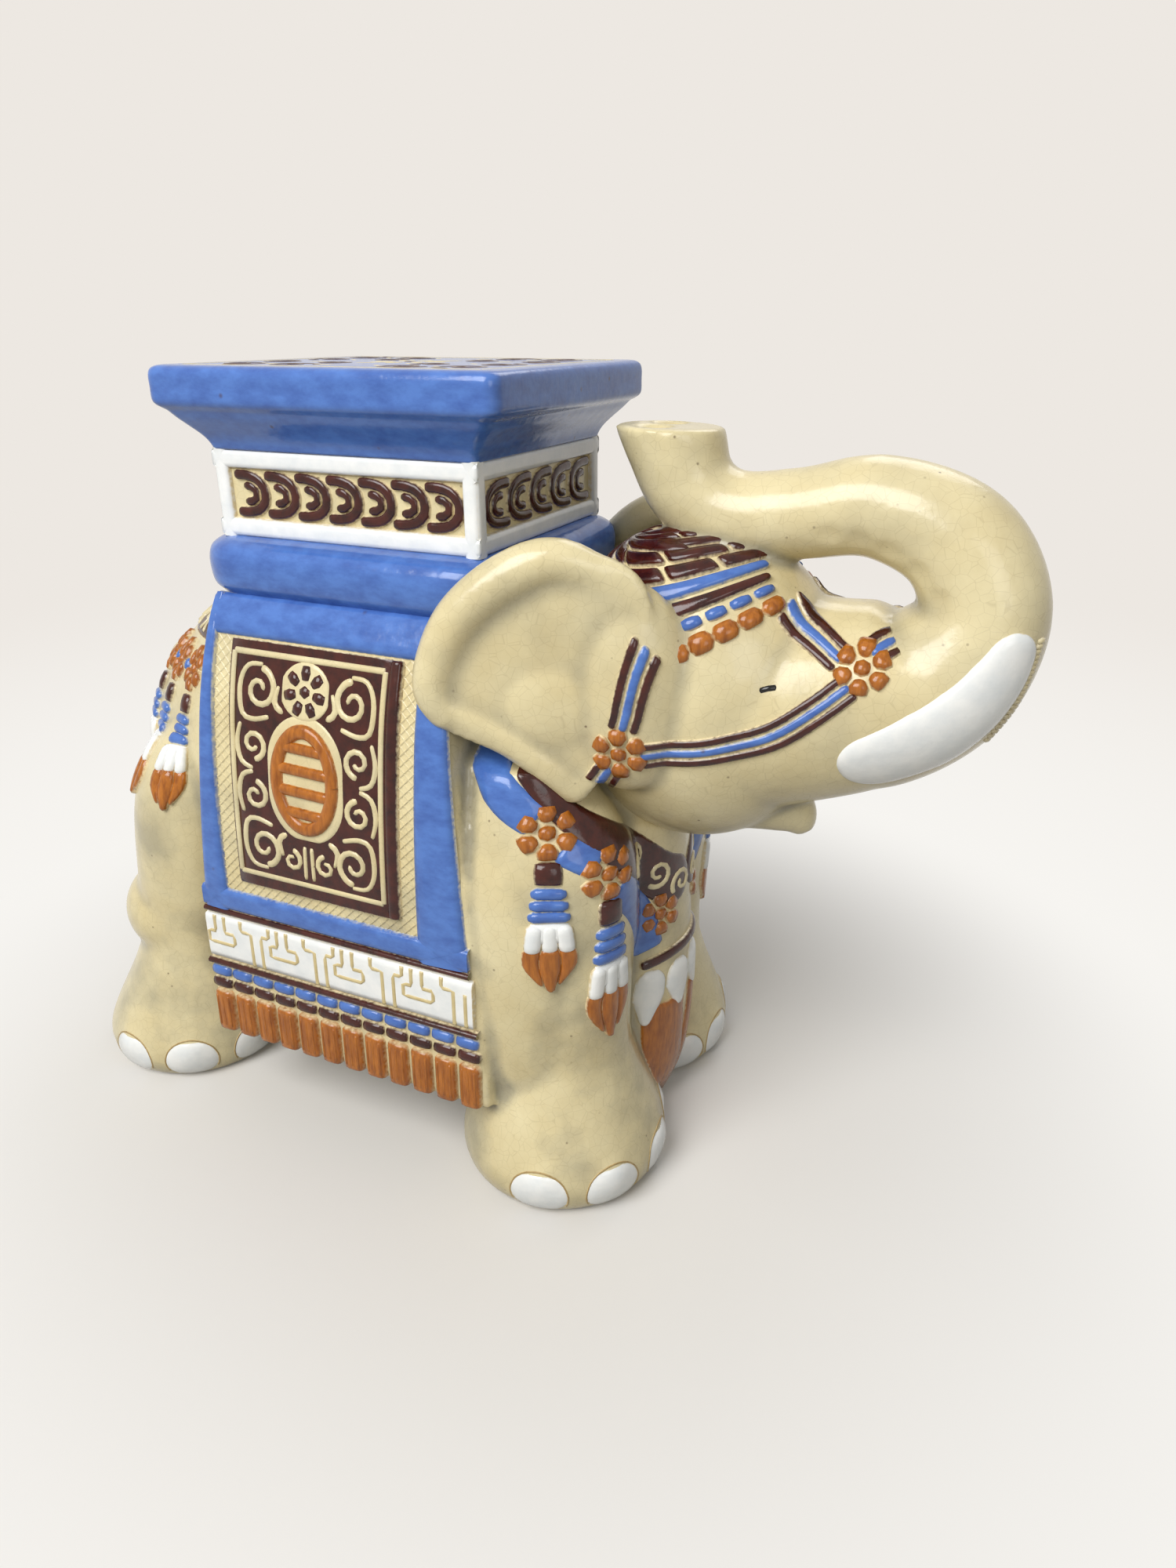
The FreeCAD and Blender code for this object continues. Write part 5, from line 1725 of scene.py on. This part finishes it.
@dataclass
class ChestHarness:
    """The blue breast band, scroll collar, rosettes and tassels on the chest."""
    axis_x: float = 20.0
    radius: float = 85.0
    # Place of a rosette round the chest, its height, and the length of what hangs from it.
    spots: Path = ((-24.5, 149.0, 0.0), (-68.0, 199.0, 98.0), (-92.5, 222.0, 84.0))
    bands: tuple[Path, ...] = (((-64.0, 190.0), (-50.0, 172.0), (-38.0, 148.0), (-32.0, 128.0)),
                               ((-72.0, 205.0), (-86.5, 215.0)),
                               ((-96.5, 228.0), (-110.0, 238.0), (-128.0, 258.0)))
    band_widths: Path = ((16.0, 20.0, 24.0, 20.0), (16.0, 16.0), (18.0, 20.0, 12.0))
    collar: Path = ((-104.0, 252.0), (-84.0, 229.0), (-66.0, 213.0), (-44.0, 192.0), (-22.0, 171.0),
                    (0.0, 160.0))
    collar_widths: tuple[float, ...] = (7.0, 13.0, 18.0, 25.0, 29.0, 32.0)
    curls: Path = ((-42.0, 190.0), (-26.0, 175.0), (-9.0, 164.0))
    neck: float = 13.0
    tuft_width: float = 20.0
    leaf: Triple = (122.0, 114.0, 74.0)

    def dress(self, skin: Skin) -> None:
        """Lay the chest harness.

        Args:
            skin: the surface of the body.
        """
        place = skin.round(self.axis_x, self.radius, zero=0.0)
        blue, brown, cream, amber, tassels = Relief(), Relief(), Relief(), Relief(), Tassels("chest")
        for path, widths in zip(self.bands, self.band_widths):
            blue.stroke(place, path, widths, height=1.8, flat=6.0, corner=2.5)
        brown.stroke(place, self.collar, self.collar_widths, height=1.8, flat=6.0, rows=12)
        for index, (u, v) in enumerate(self.curls):
            cream.curl(place, u, v, outer=8.6, turns=1.3, start=220.0, width=4.4, height=2.6,
                       hand=1 if index % 2 else -1)
        for u, v, drop in self.spots:
            amber.rosette(place, u, v, radius=12.0, height=3.2)
            if drop:
                tassels.hang(place, u, v - self.neck, drop - self.neck, self.tuft_width)
        tassels.leaf(place, *self.leaf)
        blue.add("breast_band", Finish.BLUE, ["breast_band"])
        brown.add("scroll_collar", Finish.BROWN, ["scroll_collar"])
        cream.add("collar_lines", Finish.CREAM)
        amber.add("chest_rosettes", Finish.AMBER, ["chest_rosettes"])
        tassels.add()


@dataclass
class RumpHarness:
    """The scroll crupper, rosettes and tassels on the rump."""
    axis_x: float = -150.0
    radius: float = 95.0
    height: float = 268.0
    neck: float = 13.0
    drop: float = 64.0
    tuft_width: float = 20.0
    spots: tuple[float, ...] = (0.0, 62.0, 94.0, 126.0)
    links: Triple = (31.0, 78.0, 110.0)
    link: float = 9.0
    scroll: Path = ((0.0, 291.0), (60.0, 291.0), (138.0, 291.0))
    curls: int = 8
    curl_first: Pair = (8.0, 291.5)
    curl_pitch: float = 17.0

    def dress(self, skin: Skin) -> None:
        """Lay the rump harness.

        Args:
            skin: the surface of the body.
        """
        place = skin.round(self.axis_x, self.radius, zero=180.0)
        brown, cream, amber, blue, tassels = Relief(), Relief(), Relief(), Relief(), Tassels("crupper")
        brown.stroke(place, self.scroll, width=19.0, height=1.8, flat=6.0, rows=10)
        first, level = self.curl_first
        for index in range(self.curls):
            cream.curl(place, first + index * self.curl_pitch, level, outer=7.0, turns=1.3, start=270.0,
                       width=3.2, height=2.6, hand=1 if index % 2 else -1)
        for u in self.spots:
            amber.rosette(place, u, self.height, radius=11.0, height=3.2)
            if u:
                tassels.hang(place, u, self.height - self.neck, self.drop, self.tuft_width)
        for u in self.links:
            path = [(u - self.link / 2, self.height), (u + self.link / 2, self.height)]
            blue.stroke(place, path, width=7.0, height=2.4, flat=3.0)
        brown.add("crupper_scroll", Finish.BROWN, ["crupper_scroll"])
        blue.add("crupper_links", Finish.BLUE)
        cream.add("crupper_lines", Finish.CREAM)
        amber.add("crupper_rosettes", Finish.AMBER, ["crupper_rosettes"])
        tassels.add()


@dataclass(frozen=True)
class Lamp:
    """A square soft lamp, placed and sized in metres."""
    name: str
    spot: Triple
    size: float
    watts: float


@dataclass
class Studio:
    """A pale floor, soft lamps and a camera at the viewing angle."""
    eye: Triple = (264.81, -486.52, 447.17)
    yaw: float = 23.91
    pitch: float = -24.23
    focal_share: float = 1299.35 / 2000
    backdrop: str = "#EDE8E2"
    paper: str = "#E0DDD8"
    near: str = "#F7F5F1"
    bounce: str = "#8C8981"
    sky: str = "#F2F1EF"
    sky_strength: float = 0.33
    floor_half: float = 12.0
    lamps: tuple[Lamp, ...] = (Lamp("key", (-0.3, -1.3, 1.4), 1.1, 32.0),
                               Lamp("fill", (1.3, -1.3, 0.9), 0.8, 4.5),
                               Lamp("back", (0.2, 1.2, 1.6), 1.0, 7.0))
    lit_spot: Triple = (0.0, 0.0, 0.2)

    def set_camera(self) -> None:
        """Place the camera."""
        yaw, pitch = math.radians(self.yaw), math.radians(self.pitch)
        look = Vector((-math.sin(yaw) * math.cos(pitch), math.cos(yaw) * math.cos(pitch), math.sin(pitch)))
        right = Vector((math.cos(yaw), math.sin(yaw), 0))
        lens = bpy.data.cameras.new("camera")
        lens.sensor_width = 36.0
        lens.lens = self.focal_share * lens.sensor_width
        lens.clip_start = 0.01
        camera = bpy.data.objects.new("camera", lens)
        turn = Matrix((right, right.cross(look), -look)).transposed().to_4x4()
        camera.matrix_world = Matrix.Translation(Vector(self.eye) * MM) @ turn
        bpy.context.scene.collection.objects.link(camera)
        bpy.context.scene.camera = camera

    def seen_rays(self, tree: Tree) -> Socket:
        """Tell the rays that see the backdrop, straight or in a gloss, from those that carry light.

        Args:
            tree: the floor's or the world's node tree.

        Returns:
            One for a seeing ray, nought for another.
        """
        rays = add_node(tree, "ShaderNodeLightPath").outputs
        gloss = add_node(tree, "ShaderNodeMath", {
            0: rays["Is Camera Ray"], 1: rays["Is Glossy Ray"]}, operation="MAXIMUM")
        glass = add_node(tree, "ShaderNodeMath", {
            0: gloss.outputs[0], 1: rays["Is Transmission Ray"]}, operation="MAXIMUM")
        return glass.outputs[0]

    def add_floor(self) -> None:
        """Lay the floor, which fades into the backdrop."""
        bm = bmesh.new()
        bmesh.ops.create_grid(bm, x_segments=1, y_segments=1, size=self.floor_half)
        mesh = from_bmesh(bm, "floor")
        floor = bpy.data.objects.new("floor", mesh)
        bpy.context.scene.collection.objects.link(floor)
        # Pale paper: matt under the stool, where it takes the shadow, and evenly bright further out.
        paint = blank_material("pale_paper")
        tree = paint.node_tree
        spot = add_node(tree, "ShaderNodeTexCoord").outputs["Object"]
        reach = add_node(tree, "ShaderNodeVectorMath", {0: spot}, operation="LENGTH").outputs["Value"]
        far = add_node(tree, "ShaderNodeMapRange", {
            "Value": reach, "From Min": 0.16, "From Max": 0.5}, interpolation_type="SMOOTHSTEP")
        back = add_node(tree, "ShaderNodeMapRange", {
            "Value": reach, "From Min": 0.35, "From Max": 1.6}, interpolation_type="SMOOTHSTEP")
        paleness = add_node(tree, "ShaderNodeMix", {
            SHARE: back.outputs[0], FIRST: linear(self.near), SECOND: linear(self.backdrop)},
            data_type="RGBA")
        rays = self.seen_rays(tree)
        shade = add_node(tree, "ShaderNodeMix", {
            SHARE: rays, FIRST: linear(self.bounce), SECOND: linear(self.paper)}, data_type="RGBA")
        matt = add_node(tree, "ShaderNodeBsdfDiffuse", {"Color": shade.outputs[MIXED]})
        glow = add_node(tree, "ShaderNodeEmission", {"Color": paleness.outputs[MIXED], "Strength": 1.0})
        seen = add_node(tree, "ShaderNodeMath", {0: far.outputs[0], 1: rays}, operation="MULTIPLY")
        mixed = add_node(tree, "ShaderNodeMixShader", {
            0: seen.outputs[0], 1: matt.outputs[0], 2: glow.outputs[0]})
        add_node(tree, "ShaderNodeOutputMaterial", {"Surface": mixed.outputs[0]})
        mesh.materials.append(paint)

    def add_light(self) -> None:
        """Set the world and the lamps."""
        scene = bpy.context.scene
        scene.view_settings.view_transform = "Standard"
        world = bpy.data.worlds.new("studio")
        world.use_nodes = True
        tree = world.node_tree
        tree.nodes.clear()
        soft = add_node(tree, "ShaderNodeBackground", {
            "Color": linear(self.sky), "Strength": self.sky_strength})
        seen = add_node(tree, "ShaderNodeBackground", {"Color": linear(self.backdrop), "Strength": 1.0})
        mixed = add_node(tree, "ShaderNodeMixShader", {
            0: self.seen_rays(tree), 1: soft.outputs[0], 2: seen.outputs[0]})
        add_node(tree, "ShaderNodeOutputWorld", {"Surface": mixed.outputs[0]})
        scene.world = world
        for kind in self.lamps:
            light = bpy.data.lights.new(kind.name, "AREA")
            light.size = kind.size
            light.energy = kind.watts
            lamp = bpy.data.objects.new(kind.name, light)
            lamp.location = kind.spot
            aim = Vector(self.lit_spot) - Vector(kind.spot)
            lamp.rotation_euler = aim.to_track_quat("-Z", "Y").to_euler()
            scene.collection.objects.link(lamp)


def main() -> None:
    """Build the stool and its studio; each piece's face count is logged."""
    logging.basicConfig(level=logging.INFO, format="%(message)s")
    studio = Studio()
    studio.set_camera()
    studio.add_floor()
    studio.add_light()
    cloth = SaddleCloth()
    feet = Feet()
    body = ClayBody(cloth, feet)
    body_skin = Skin(body.build().data)
    body.add_tail()
    head = ClayHead()
    head_skin = Skin(head.build().data)
    head.add_tusks(head_skin)
    head.add_eyes(head_skin)
    feet.dress(body_skin)
    Seat().build()
    cloth.dress()
    HeadHarness().dress(head.bare_skull(), head_skin)
    ChestHarness().dress(body_skin)
    RumpHarness().dress(body_skin)


if __name__ == "__main__":
    main()
